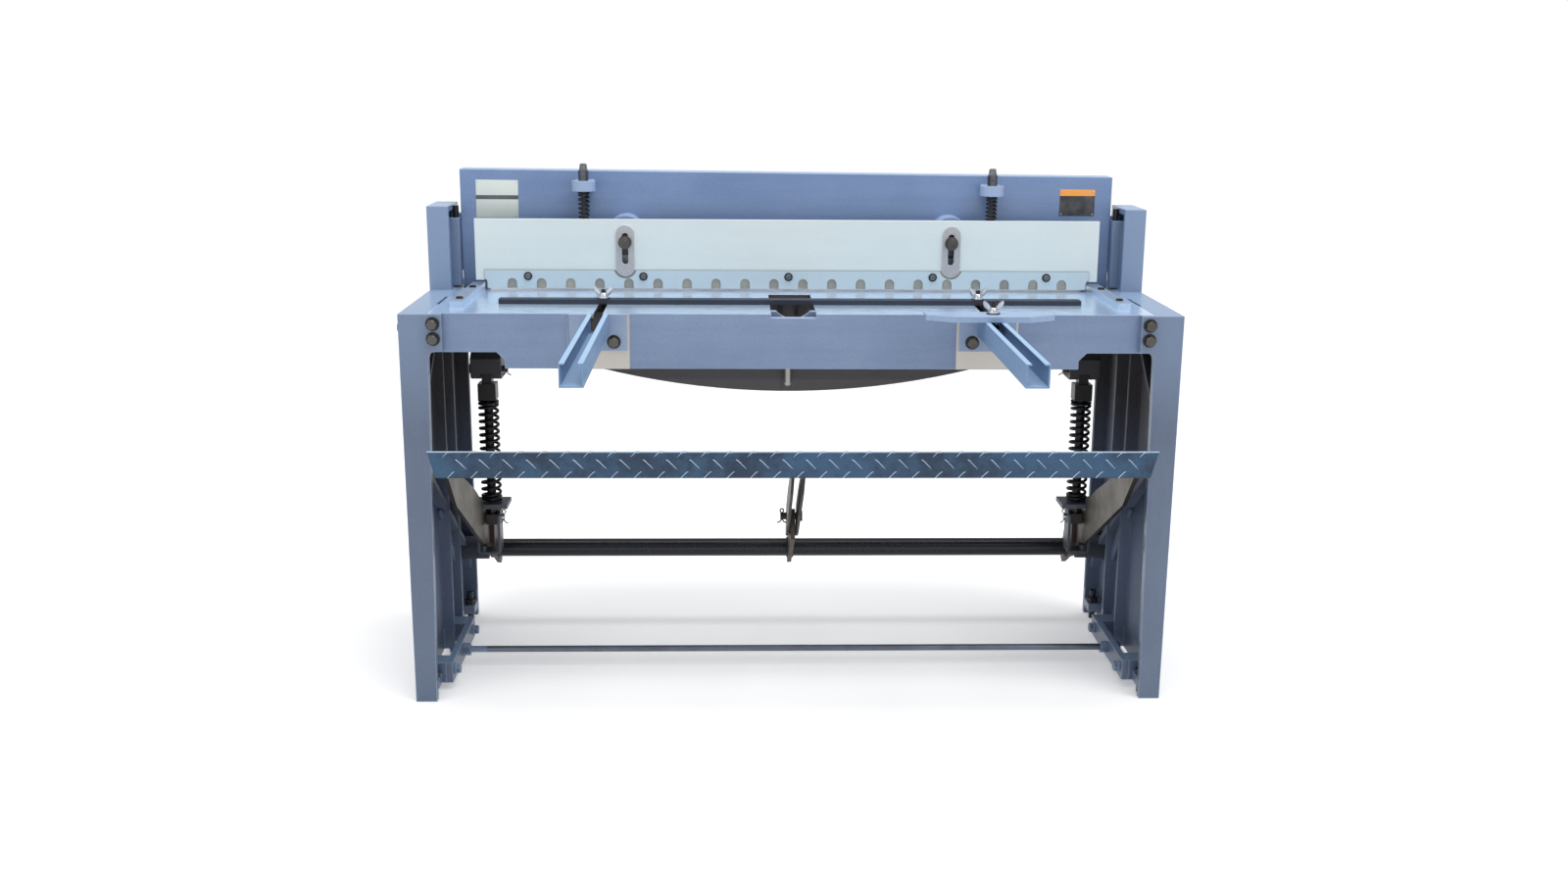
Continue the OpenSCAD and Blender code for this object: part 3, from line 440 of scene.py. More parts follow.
class Zone:
    """A part of a casting that is told by its place."""

    def mask(self, graph: Graph) -> Value:
        """Gives 1 in the zone, 0 outside it."""
        raise NotImplementedError

    def inner(self, graph: Graph) -> Value:
        """Gives 1 on the whole side that the zone is a part of, 0 outside it."""
        raise NotImplementedError


class InnerSide(Zone):
    """The upper inner side of a side frame, which no light reaches."""

    def mask(self, graph: Graph) -> Value:
        """Gives 1 in the zone, 0 outside it."""
        height = graph.along(2)
        # The pivot boss low on the inner side gets the painted shade too.
        hub = (graph.along(1) - 0.485).size().below(0.033) * (height - 0.18).size().below(0.033)
        return self.inner(graph) * height.within(0.30, 0.62).either(hub * 0.85)

    def inner(self, graph: Graph) -> Value:
        """Gives 1 on the whole side that the zone is a part of, 0 outside it."""
        return (graph.along(0).size().below(0.7682) * graph.along(1).between(0.0012, 0.5335)
                * graph.along(2).between(0.064, 0.8005))


@dataclass(frozen=True)
class RamFinish:
    """Enamel on the ram: painted shade under the table, pale bosses, worn guide faces."""

    paint: Enamel
    # Near black painted shade under the table.
    hollow_shade: Color = (0.026, 0.022, 0.023)
    boss: Color = (0.36, 0.45, 0.62)
    worn: Color = (0.10, 0.095, 0.09)
    front: float = 0.390
    guides: float = 0.355
    rods: float = 0.445

    def make(self) -> bpy.types.Material:
        """Makes the material."""
        graph, color, rough, normal = self.paint.start()
        across, depth = graph.along(0).size(), graph.along(1)
        # Below the table the ram is painted near black: painted shade.
        under = 1.0 - graph.along(2).within(0.785, 0.822)
        ahead = depth.below(self.front) * (1.0 - under)
        guide = ahead * (across - self.guides).size().below(0.034) * graph.along(2).below(0.966)
        boss = ahead * (across - self.rods).size().below(0.040)
        color = graph.mix(boss * 0.6, color, self.boss)
        color = graph.mix(guide, color, self.worn)
        color = graph.mix(under * 0.97, color, self.hollow_shade)
        dull = under.either(guide)
        return graph.finish({"Coat Roughness": 0.12}, color=color, rough=rough + dull * 0.12,
                            metal=guide * 0.8, normal=normal, coat=(1.0 - dull) * self.paint.coat)


@dataclass(frozen=True)
class Steel:
    """Steel with fine marks along one axis."""

    name: str
    color: Color
    stain: Color
    rough: float = 0.3
    stretch: tuple[float, float, float] = (1, 1, 1)
    metal: float = 1.0
    radius: float = 0.0007
    marks: float = 0.00004
    stained: float = 0.5

    def make(self) -> bpy.types.Material:
        """Makes the material."""
        graph = Graph(self.name)
        lines = graph.noise(900, 2, 0.6, self.stretch)
        cloud = graph.noise(7, 4, 0.6).within(0.35, 0.75)
        spots = graph.noise(60, 3, 0.6).within(0.55, 0.75)
        rounded = graph.rounded(self.radius)
        edge = graph.edges(rounded)
        color = graph.mix(cloud * self.stained + spots * 0.2, self.color, self.stain)
        bright = tuple(min(1.0, 0.25 + 0.9 * c) for c in self.color)
        color = graph.mix(edge * 0.45, color, bright)
        rough = self.rough + lines * 0.12 + cloud * 0.1 - edge * 0.06
        normal = graph.bump(lines, self.marks, rounded)
        return graph.finish({"Metallic": self.metal}, color=color, rough=rough, normal=normal)


@dataclass(frozen=True)
class BedFinish:
    """Enamel on the bed, with its ground table and machined pads."""

    paint: Enamel
    # The ground table's blue tint is a painted reflection of the blue machine round it.
    ground: Color = (0.60, 0.78, 1.0)
    machined: Color = (0.58, 0.545, 0.50)
    shadow: Color = (0.044, 0.036, 0.038)
    table: float = 0.8149
    pad_face: float = -0.0002

    def hollows(self, graph: Graph) -> Value:
        """Gives 1 in the slots, behind the notch's web and under the bed."""
        across, depth, height = graph.along(0), graph.along(1), graph.along(2)
        slots = (across.size() - 0.388).size().below(0.0162) * depth.above(0.0022)
        notch = across.size().below(0.0462) * depth.between(0.0505, 0.2755)
        under = depth.above(0.0025) * height.below(0.7945)
        return (slots.either(notch) * height.below(0.8146)).either(under)

    def make(self) -> bpy.types.Material:
        """Makes the material."""
        graph, paint, rough, normal = self.paint.start()
        height = graph.along(2)
        depth = graph.along(1)
        top = height.above(self.table)
        pad = depth.below(self.pad_face) * height.below(self.table) * graph.along(0).above(-0.415)
        lines = graph.noise(500, 2, 0.6, (0.03, 1.0, 1.0))
        cloud = graph.noise(5, 4, 0.6).within(0.3, 0.75)
        pits = graph.cells(150).within(0.0, 0.12)
        steel = graph.mix(cloud * 0.35 + lines * 0.14, self.ground, (0.42, 0.51, 0.66))
        cast = graph.mix((1.0 - pits) * 0.5 + cloud * 0.25, self.machined, (0.40, 0.37, 0.33))
        paint = graph.mix(self.hollows(graph) * 0.97, paint, self.shadow)
        color = graph.mix(top, graph.mix(pad, paint, cast), steel)
        metal = top * 0.6 + pad * 0.4
        shine = (1.0 - top - pad) * rough + top * (0.17 + cloud * 0.1) + pad * 0.48
        return graph.finish(None, color=color, rough=shine, metal=metal, normal=normal,
                            coat=(1.0 - top - pad) * 0.25)


@dataclass(frozen=True)
class PanelFinish:
    """Pale enamel on the hold-down, with its machined ovals."""

    paint: Enamel
    machined: Color = (0.50, 0.50, 0.52)
    bare: Color = (0.42, 0.40, 0.33)
    # Dark line round the guard's edge: a seam together with the guard's painted shadow.
    seam_shadow: Color = (0.28, 0.31, 0.32)
    face: float = 0.3235
    plate: float = 0.3255
    guard_top: float = 0.8601
    guard_end: float = 0.6601
    line: float = 0.0011

    def make(self) -> bpy.types.Material:
        """Makes the material."""
        graph, paint, rough, normal = self.paint.start()
        across, depth, height = graph.along(0).size(), graph.along(1), graph.along(2)
        oval = depth.below(self.face)
        front = depth.between(self.face, self.plate)
        behind = front * height.below(self.guard_top) * across.below(self.guard_end)
        # A seam together with the guard's painted shadow, round the guard's edge.
        around = (front * height.below(self.guard_top + self.line)
                  * across.below(self.guard_end + self.line) - behind)
        pits = graph.noise(600, 2, 0.7).within(0.4, 0.65)
        stains = graph.noise(14, 4, 0.6).within(0.3, 0.7)
        cast = graph.mix(pits * 0.5, self.machined, (0.24, 0.23, 0.23))
        # The oval's rim painted near white: a painted highlight.
        cast = graph.mix(graph.edges(graph.rounded(0.0024)) * 0.9, cast, (0.80, 0.83, 0.86))
        ground = graph.mix(stains * 0.7, self.bare, (0.25, 0.25, 0.24))
        color = graph.mix(around * 0.8, paint, self.seam_shadow)
        color = graph.mix(behind, graph.mix(oval, color, cast), ground)
        worked = oval + behind
        return graph.finish(None, color=color, rough=rough + worked * 0.1, metal=worked * 0.6,
                            normal=normal, coat=(1.0 - worked) * 0.2)


@dataclass(frozen=True)
class TreadFinish:
    """Dark glossy enamel, clouded by wear, with painted highlights on its bend, its edges and the crests of
    what stands up, and painted shade along its lower edge.
    """

    name: str
    color: Color = srgb(10, 38, 62)
    cloud: Color = srgb(44, 80, 112)
    # Pale blue of the painted highlights.
    worn: Color = (0.66, 0.80, 0.94)
    # Strength of the painted highlight on faces that turn partly up.
    crest_highlight: float = 0.0
    bend: float = 0.5740
    # Below this height the lip is painted near black: painted shade.
    foot: float = 0.5205

    def make(self) -> bpy.types.Material:
        """Makes the material."""
        graph = Graph(self.name)
        clouds = graph.noise(6, 5, 0.7).within(0.40, 0.62)
        smear = graph.noise(38, 4, 0.7, (1.0, 1.0, 0.35)).within(0.45, 0.75)
        rounded = graph.rounded(0.0009)
        edge = graph.edges(rounded)
        color = graph.mix(clouds * 0.85 + smear * 0.15, self.color, self.cloud)
        height = graph.along(2)
        bend = height.within(self.bend - 0.0040, self.bend - 0.0015) * height.below(self.bend)
        # Painted shade: the lip's lower edge near black.
        color = graph.mix(height.below(self.foot) * 0.8, color, (0.006, 0.008, 0.012))
        # Painted highlight along the bend and the edges.
        color = graph.mix(bend * 0.55 + edge * 0.2, color, self.worn)
        # Painted highlight on faces that turn partly up: the crests of the lugs.
        rise = graph.upward()
        crest_highlight = (rise.within(0.24, 0.46) - rise.within(0.80, 0.93) * 0.7) * self.crest_highlight
        color = graph.mix(crest_highlight, color, self.worn)
        scuffs = graph.noise(300, 3, 0.6, (1.0, 1.0, 0.3))
        normal = graph.bump(scuffs, 0.00010, rounded)
        rough = 0.30 + clouds * 0.1 + scuffs * 0.06
        return graph.finish({"Coat Weight": 0.15, "Coat Roughness": 0.15,
                             "Specular IOR Level": 0.35}, color=color, rough=rough, normal=normal)


@dataclass(frozen=True)
class GuardFinish:
    """Pale enamel on thin plate, with dull grey cut edges."""

    paint: Enamel
    cut: Color = (0.16, 0.17, 0.18)

    def make(self) -> bpy.types.Material:
        """Makes the material."""
        graph, color, rough, normal = self.paint.start()
        flat = graph.node("ShaderNodeNewGeometry").outputs["Normal"]
        facing_y = Value(graph, graph.node("ShaderNodeSeparateXYZ", None, {0: flat}).outputs[1])
        cut = 1.0 - facing_y.size().within(0.4, 0.7)
        color = graph.mix(cut * 0.9, color, self.cut)
        return graph.finish({"Coat Weight": 0.2}, color=color, rough=rough + cut * 0.1,
                            normal=normal)


@dataclass(frozen=True)
class RodFinish:
    """A bright drawn rod, painted over near its left end."""

    name: str
    color: Color
    stain: Color
    paint: Color
    start: float

    def make(self) -> bpy.types.Material:
        """Makes the material."""
        graph = Graph(self.name)
        painted = graph.along(0).below(self.start)
        lines = graph.noise(900, 2, 0.6, (0.03, 1.0, 1.0))
        cloud = graph.noise(9, 4, 0.6).within(0.3, 0.7)
        color = graph.mix(cloud * 0.5 + lines * 0.1, self.color, self.stain)
        color = graph.mix(painted, color, self.paint)
        normal = graph.bump(lines, 0.00003, graph.rounded(0.0006))
        return graph.finish(None, color=color, rough=0.3 + cloud * 0.1 + painted * 0.05,
                            metal=(1.0 - painted) * 0.9, normal=normal)


@dataclass(frozen=True)
class CutPlate:
    """Flame-cut flat bar: scraped clean on its sides, dark round its edges."""

    name: str
    color: Color = (0.120, 0.107, 0.087)
    stain: Color = (0.068, 0.060, 0.048)
    rim: Color = (0.016, 0.014, 0.014)

    def make(self) -> bpy.types.Material:
        """Makes the material."""
        graph = Graph(self.name)
        rounded = graph.rounded(0.0010)
        flat = graph.node("ShaderNodeNewGeometry").outputs["Normal"]
        sides = Value(graph, graph.node("ShaderNodeSeparateXYZ", None, {0: flat}).outputs[0])
        face = sides.size().within(0.5, 0.8)
        cloud = graph.noise(11, 4, 0.62).within(0.3, 0.72)
        lines = graph.noise(420, 2, 0.6, (1.0, 0.12, 0.12))
        spots = graph.noise(90, 3, 0.6).within(0.55, 0.72)
        color = graph.mix(cloud * 0.55 + lines * 0.15 + spots * 0.25, self.color, self.stain)
        color = graph.mix(face, self.rim, color)
        rough = 0.4 + lines * 0.12 + cloud * 0.1
        normal = graph.bump(lines, 0.00005, rounded)
        return graph.finish({"Metallic": 0.75}, color=color, rough=rough, normal=normal)


@dataclass(frozen=True)
class Banded:
    """A thin printed plate of two plain tones, without words."""

    name: str
    color: Color
    band: Color
    low: float
    high: float

    def make(self) -> bpy.types.Material:
        """Makes the material."""
        graph = Graph(self.name)
        cloud = graph.noise(30, 3, 0.6).within(0.3, 0.7)
        stripe = graph.along(2).between(self.low, self.high)
        color = graph.mix(stripe, self.color, self.band)
        color = graph.mix(cloud * 0.12, color, (0.5, 0.52, 0.54))
        normal = graph.bump(graph.noise(260, 2), 0.00004)
        return graph.finish(None, color=color, rough=0.36 + cloud * 0.08, normal=normal)


@dataclass(frozen=True)
class Threaded:
    """Black steel with a thread over one stretch of its height."""

    name: str
    color: Color
    low: float
    high: float
    pitch: float = 0.002
    rough: float = 0.34

    def make(self) -> bpy.types.Material:
        """Makes the material."""
        graph = Graph(self.name)
        wave = (graph.along(2) * (2 * math.pi / self.pitch)).sine() * 0.5 + 0.5
        side = graph.along(2).between(self.low, self.high) * (1.0 - graph.upward().size().within(0.2, 0.5))
        cloud = graph.noise(30, 3, 0.6).within(0.35, 0.7)
        color = graph.mix(wave * side * 0.45 + cloud * 0.2, self.color,
                          tuple(min(1.0, 0.08 + 1.9 * c) for c in self.color))
        normal = graph.bump(wave * side, 0.0006, graph.rounded(0.0006))
        return graph.finish({"Metallic": 0.85}, color=color, rough=self.rough + cloud * 0.12,
                            normal=normal)


@dataclass(frozen=True)
class Plain:
    """A plain smooth finish with a soft cloud of tone."""

    name: str
    color: Color
    shade: Color
    rough: float = 0.4
    metal: float = 0.0
    coat: float = 0.0

    def make(self) -> bpy.types.Material:
        """Makes the material."""
        graph = Graph(self.name)
        cloud = graph.noise(18, 4, 0.6).within(0.3, 0.7)
        color = graph.mix(cloud * 0.6, self.color, self.shade)
        normal = graph.bump(graph.noise(240, 2), 0.00006)
        return graph.finish({"Metallic": self.metal, "Coat Weight": self.coat, "Coat Roughness": 0.08},
                            color=color, rough=self.rough + cloud * 0.08, normal=normal)


class Finishes:
    """All the finishes of the machine, each made once."""

    def __init__(self) -> None:
        """Makes the materials."""
        self.paints()
        self.steels()
        self.plates()

    def paints(self) -> None:
        """Makes the enamels."""
        side = InnerSide()
        cast = Enamel("cast_enamel", srgb(90, 104, 127), srgb(74, 88, 112), srgb(160, 188, 220),
                      depth=0.0007, radius=0.0034, top_light=0.4, zone=side)
        apron = Enamel("bed_enamel", srgb(123, 141, 171), srgb(98, 119, 152), srgb(188, 208, 232),
                       depth=0.0006, radius=0.0030, strokes=(0.06, 1.0, 1.0))
        ram = Enamel("ram_enamel", srgb(118, 141, 179), srgb(92, 117, 158), srgb(166, 190, 220),
                     depth=0.0006, radius=0.0030, strokes=(0.06, 1.0, 1.0))
        pale = Enamel("pale_enamel", srgb(208, 218, 218), srgb(198, 208, 208), srgb(242, 248, 248),
                      grain=260, depth=0.00008, radius=0.0016, chipped=0.15,
                      strokes=(0.05, 1.0, 1.0))
        guard = Enamel("guard_enamel", srgb(184, 200, 208), srgb(174, 191, 200),
                       srgb(222, 236, 242), grain=320, depth=0.00003, radius=0.0004, chipped=0.1)
        # The near black is the painted shade in the cast's hollows.
        self.cast = CastFinish(cast, (0.020, 0.016, 0.016), side).make()
        self.bed = BedFinish(apron).make()
        self.ram = RamFinish(ram).make()
        self.pale = PanelFinish(pale).make()
        self.guard = GuardFinish(guard).make()
        self.arm = Enamel("arm_enamel", srgb(119, 148, 183), srgb(98, 129, 167),
                          srgb(170, 200, 230), rough=0.42, depth=0.0002, radius=0.0009,
                          coat=0.1, top_light=0.7, specular=0.35,
                          strokes=(1.0, 0.08, 1.0)).make()
        self.bracket = Enamel("bracket_enamel", srgb(138, 155, 182), srgb(122, 140, 168),
                              srgb(188, 206, 230), depth=0.0002, radius=0.0014).make()
        self.bevel = Enamel("bevel_enamel", srgb(144, 166, 196), srgb(130, 152, 184),
                            srgb(178, 200, 226), depth=0.0001, radius=0.0008, top_light=0.2).make()
        self.tread = TreadFinish("tread_enamel").make()
        # The lugs get the painted highlight on their crests.
        self.lug = TreadFinish("lug_enamel", crest_highlight=0.95).make()
        self.tube = Enamel("tube_enamel", (0.010, 0.011, 0.016), (0.016, 0.018, 0.024),
                           (0.03, 0.033, 0.042), rough=0.17, grain=120, depth=0.00003,
                           radius=0.0008, coat=0.0, top_light=0.1, specular=0.35,
                           strokes=(0.05, 1.0, 1.0)).make()

    def steels(self) -> None:
        """Makes the bare and the blackened steels."""
        # The blue tint of the ground steel is a painted reflection of the blue paint round it.
        self.ground = Steel("ground_steel", (0.51, 0.63, 0.78), (0.34, 0.43, 0.55), 0.24,
                            (1.0, 0.04, 1.0), metal=0.6).make()
        self.blade = Steel("blade_steel", (0.52, 0.54, 0.58), (0.36, 0.37, 0.40), 0.28,
                           (0.04, 1.0, 1.0)).make()
        self.gauge = Steel("gauge_steel", (0.026, 0.033, 0.054), (0.018, 0.022, 0.036), 0.45,
                           (0.05, 1.0, 1.0), metal=0.2).make()
        self.seat = Steel("seat_steel", (0.080, 0.092, 0.120), (0.045, 0.046, 0.056), 0.42,
                          metal=0.4, stained=0.7).make()
        self.primed = Steel("primed_steel", (0.070, 0.040, 0.036), (0.030, 0.022, 0.022), 0.45,
                            metal=0.3, stained=0.7).make()
        self.stud = Steel("stud_steel", (0.42, 0.41, 0.40), (0.24, 0.22, 0.20), 0.34,
                          metal=0.95).make()
        self.cut = CutPlate("cut_steel").make()
        self.bolt = Steel("bolt_steel", (0.110, 0.104, 0.096), (0.050, 0.046, 0.043), 0.26,
                          metal=0.85, radius=0.0009).make()
        self.wire = Plain("wire_steel", (0.03, 0.028, 0.028), (0.05, 0.045, 0.04), 0.4, 0.6).make()
        self.button = Steel("button_steel", (0.20, 0.21, 0.22), (0.10, 0.10, 0.10), 0.28,
                            metal=0.9, radius=0.0004).make()
        self.clamp_coil = Steel("clamp_spring_steel", (0.04, 0.042, 0.05), (0.02, 0.02, 0.024), 0.28,
                                metal=0.7, radius=0.0003).make()
        self.tie = RodFinish("tie_steel", (0.17, 0.19, 0.24), (0.08, 0.085, 0.10),
                             srgb(112, 130, 158), -0.662).make()
        self.black = Steel("black_oxide", (0.030, 0.028, 0.030), (0.052, 0.045, 0.040), 0.3,
                           metal=0.75, radius=0.0005).make()
        self.coil = Steel("spring_steel", (0.018, 0.020, 0.025), (0.010, 0.011, 0.013), 0.30,
                          metal=0.6, radius=0.0005).make()
        self.foot_thread = Threaded("foot_thread", (0.045, 0.045, 0.05), 0.012, 0.071).make()
        self.rod_thread = Threaded("rod_thread", (0.05, 0.05, 0.055), 1.028, 1.09).make()
        self.zinc = Plain("bright_zinc", (0.66, 0.69, 0.72), (0.44, 0.46, 0.49), 0.24, 1.0).make()
        self.strap = Steel("strap_steel", (0.085, 0.095, 0.115), (0.045, 0.048, 0.055), 0.34,
                           metal=0.8, radius=0.0014).make()
        self.weld = Steel("weld_steel", (0.06, 0.055, 0.055), (0.03, 0.028, 0.028), 0.4,
                          metal=0.7, marks=0.0002).make()

    def plates(self) -> None:
        """Makes the bare printed plates."""
        self.left_plate = Banded("pale_plate", (0.60, 0.66, 0.62), (0.055, 0.06, 0.075),
                                 1.006, 1.015).make()
        self.right_plate = Banded("dark_plate", (0.022, 0.022, 0.028), (0.80, 0.30, 0.03),
                                  1.020, 1.050).make()


# Mesh making


class Shape:
    """One piece in the making: parts are added in their places, then it becomes an object."""

    def __init__(self) -> None:
        """Starts with nothing."""
        self.mesh = bmesh.new()

    def add(self, part: bmesh.types.BMesh, place: Matrix) -> None:
        """Adds a part, moved by place, and frees it."""
        part.transform(place)
        store = bpy.data.meshes.new("part")
        part.to_mesh(store)
        part.free()
        self.mesh.from_mesh(store)
        bpy.data.meshes.remove(store)

    def piece(self, name: str, material: bpy.types.Material, body: Body, slot: str,
              smooth: float = 35.0) -> bpy.types.Object:
        """Closes the shape and hangs it on its body.

        Args:
            name: The object's name.
            material: Its finish.
            body: The body that it rides on.
            slot: The record's material slot. Not used.
            smooth: The angle, in degrees, under which edges are shaded smooth.

        Returns:
            The new object.
        """
        bmesh.ops.recalc_face_normals(self.mesh, faces=self.mesh.faces)
        data = bpy.data.meshes.new(name)
        self.mesh.to_mesh(data)
        self.mesh.free()
        data.shade_smooth()
        data.set_sharp_from_angle(angle=math.radians(smooth))
        data.materials.append(material)
        thing = bpy.data.objects.new(name, data)
        bpy.context.scene.collection.objects.link(thing)
        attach(thing, body.value)
        LOG.info("%s: %d faces", name, len(data.polygons))
        return thing


def disc(radius: float, height: float, sides: int = 36, bevel: float = 0.0004,
         top: float | None = None) -> bmesh.types.BMesh:
    """Makes a round or many-sided stud on its base, with a bevelled rim.

    Args:
        radius: Radius at the base, in metres.
        height: Height, in metres.
        sides: Number of sides.
        bevel: Width of the bevel round the top.
        top: Radius at the top, if it differs.

    Returns:
        The part.
    """
    part = bmesh.new()
    bmesh.ops.create_cone(part, cap_ends=True, segments=sides, radius1=radius,
                          radius2=radius if top is None else top, depth=height,
                          matrix=Matrix.Translation((0, 0, height / 2)))
    rim = [e for e in part.edges if all(v.co.z > height * 0.99 for v in e.verts)]
    if bevel > 0:
        bmesh.ops.bevel(part, geom=rim, offset=bevel, segments=2, profile=0.5, affect="EDGES",
                        material=-1)
    return part


def hexagon(flats: float, height: float) -> bmesh.types.BMesh:
    """Makes a hexagon head or nut, with its corners turned off."""
    return disc(flats / 2 / math.cos(math.pi / 6), height, 6, flats * 0.035)


def socket_head(radius: float, height: float, key: float, domed: bool = False) -> bmesh.types.BMesh:
    """Makes a screw head with a hexagon socket.

    Args:
        radius: Radius of the head, in metres.
        height: Height of the head.
        key: Width of the socket over its flats.
        domed: Whether the head is a low dome.

    Returns:
        The part.
    """
    part = disc(radius, height, 30, 0.0, radius * 0.8 if domed else radius)
    lid = [f for f in part.faces if f.normal.z > 0.9 and f.calc_center_median().z > height * 0.9]
    outer = [e for f in lid for e in f.edges]
    bmesh.ops.delete(part, geom=lid, context="FACES_ONLY")
    made = bmesh.ops.create_circle(part, cap_ends=False, segments=6, radius=key / 1.732,
                                   matrix=Matrix.Translation((0, 0, height)))
    inner = list({e for v in made["verts"] for e in v.link_edges})
    bmesh.ops.bridge_loops(part, edges=outer + inner)
    walls = bmesh.ops.extrude_edge_only(part, edges=inner)
    low = [v for v in walls["geom"] if isinstance(v, bmesh.types.BMVert)]
    bmesh.ops.translate(part, verts=low, vec=(0, 0, -height * 0.7))
    bmesh.ops.contextual_create(part, geom=low)
    rim = [e for e in outer if e.is_valid]
    bmesh.ops.bevel(part, geom=rim, offset=radius * 0.1, segments=2, profile=0.5,
                    affect="EDGES", material=-1)
    return part


def wire(points: list[Vector], radius: float, sides: int = 10) -> bmesh.types.BMesh:
    """Draws a round wire through points.

    Args:
        points: The points of its middle line, in metres.
        radius: Radius of the wire.
        sides: Sides of its section.

    Returns:
        The part, with both ends closed.
    """
    part = bmesh.new()
    heading = (points[1] - points[0]).normalized()
    turn = Vector((0, 0, 1)).rotation_difference(heading).to_matrix().to_4x4()
    bmesh.ops.create_circle(part, cap_ends=True, segments=sides, radius=radius,
                            matrix=Matrix.Translation(points[0]) @ turn)
    ring = list(part.verts)
    edges = [e for e in part.edges if e.is_boundary or len(e.link_faces) == 1]
    for index in range(1, len(points)):
        after = points[min(index + 1, len(points) - 1)] - points[index - 1]
        after.normalize()
        step = bmesh.ops.extrude_edge_only(part, edges=edges)["geom"]
        ring = [v for v in step if isinstance(v, bmesh.types.BMVert)]
        edges = [e for e in step if isinstance(e, bmesh.types.BMEdge)]
        bend = heading.rotation_difference(after).to_matrix().to_4x4()
        move = Matrix.Translation(points[index]) @ bend @ Matrix.Translation(-points[index - 1])
        bmesh.ops.transform(part, matrix=move, verts=ring)
        heading = after
    bmesh.ops.contextual_create(part, geom=ring)
    return part


def arc(centre: Vector, radius: float, start: float, end: float, plane: tuple[Vector, Vector],
        steps: int = 10) -> list[Vector]:
    """Gives points on an arc.

    Args:
        centre: Its centre.
        radius: Its radius.
        start: First angle, in degrees.
        end: Last angle, in degrees.
        plane: The directions of 0 and of 90 degrees.
        steps: Number of steps.

    Returns:
        The points.
    """
    angles = [math.radians(start + (end - start) * i / steps) for i in range(steps + 1)]
    return [centre + plane[0] * (radius * math.cos(a)) + plane[1] * (radius * math.sin(a))
            for a in angles]


def slab(size: tuple[float, float, float], bevel: float, segments: int = 2) -> bmesh.types.BMesh:
    """Makes a block about its centre, with all its edges rounded."""
    part = bmesh.new()
    bmesh.ops.create_cube(part, size=1.0, matrix=Matrix.Diagonal((*size, 1.0)))
    bmesh.ops.bevel(part, geom=list(part.edges), offset=bevel, segments=segments, profile=0.5,
                    affect="EDGES", material=-1)
    return part


def coil(centre: Vector, radius: float, wire_radius: float, length: float, turns: float,
         steps: int = 28, closed: float = 0.75) -> bmesh.types.BMesh:
    """Winds a spring about +Z, with closed ends.

    Args:
        centre: The middle of its foot.
        radius: Radius of the wire's middle line.
        wire_radius: Radius of the wire.
        length: Length over its outside.
        turns: Number of turns.
        steps: Steps in one turn.
        closed: Number of closed turns at each end.

    Returns:
        The part.
    """
    rise = length - 2 * wire_radius
    pitch = (rise - 2 * closed * 2 * wire_radius) / (turns - 2 * closed)
    part = bmesh.new()
    start = centre + Vector((radius, 0, wire_radius))
    bmesh.ops.create_circle(part, cap_ends=True, segments=10, radius=wire_radius,
                            matrix=Matrix.Translation(start) @ Matrix.Rotation(math.pi / 2, 4, "X"))
    ring = list(part.verts) + list(part.edges)
    for count, step in ((closed, 2 * wire_radius), (turns - 2 * closed, pitch),
                        (closed, 2 * wire_radius)):
        number = max(2, round(count * steps))
        made = bmesh.ops.spin(part, geom=ring, cent=centre, axis=(0, 0, 1),
                              dvec=(0, 0, step * count / number), angle=2 * math.pi * count,
                              steps=number, use_merge=False)
        ring = [g for g in made["geom_last"] if not isinstance(g, bmesh.types.BMFace)]
    bmesh.ops.contextual_create(part, geom=[g for g in ring if isinstance(g, bmesh.types.BMVert)])
    return part


def cotter(place: Matrix, reach: float, radius: float = 0.0013) -> list[tuple[bmesh.types.BMesh, Matrix]]:
    """Makes a split pin: its eye above the hole and two legs bent apart below it."""
    side, up = Vector((1, 0, 0)), Vector((0, 0, 1))
    eye = arc(Vector((0, 0, reach + 0.004)), 0.004, -60, 240, (side, up), 12)
    legs = []
    for sign in (-1, 1):
        legs.append([Vector((sign * radius, 0, reach)), Vector((sign * radius, 0, -reach)),
                     Vector((sign * 0.004, 0, -reach - 0.004)),
                     Vector((sign * 0.010, 0, -reach - 0.007))])
    return [(wire(p, radius, 8), place) for p in [eye] + legs]


# The machine's sub-assemblies


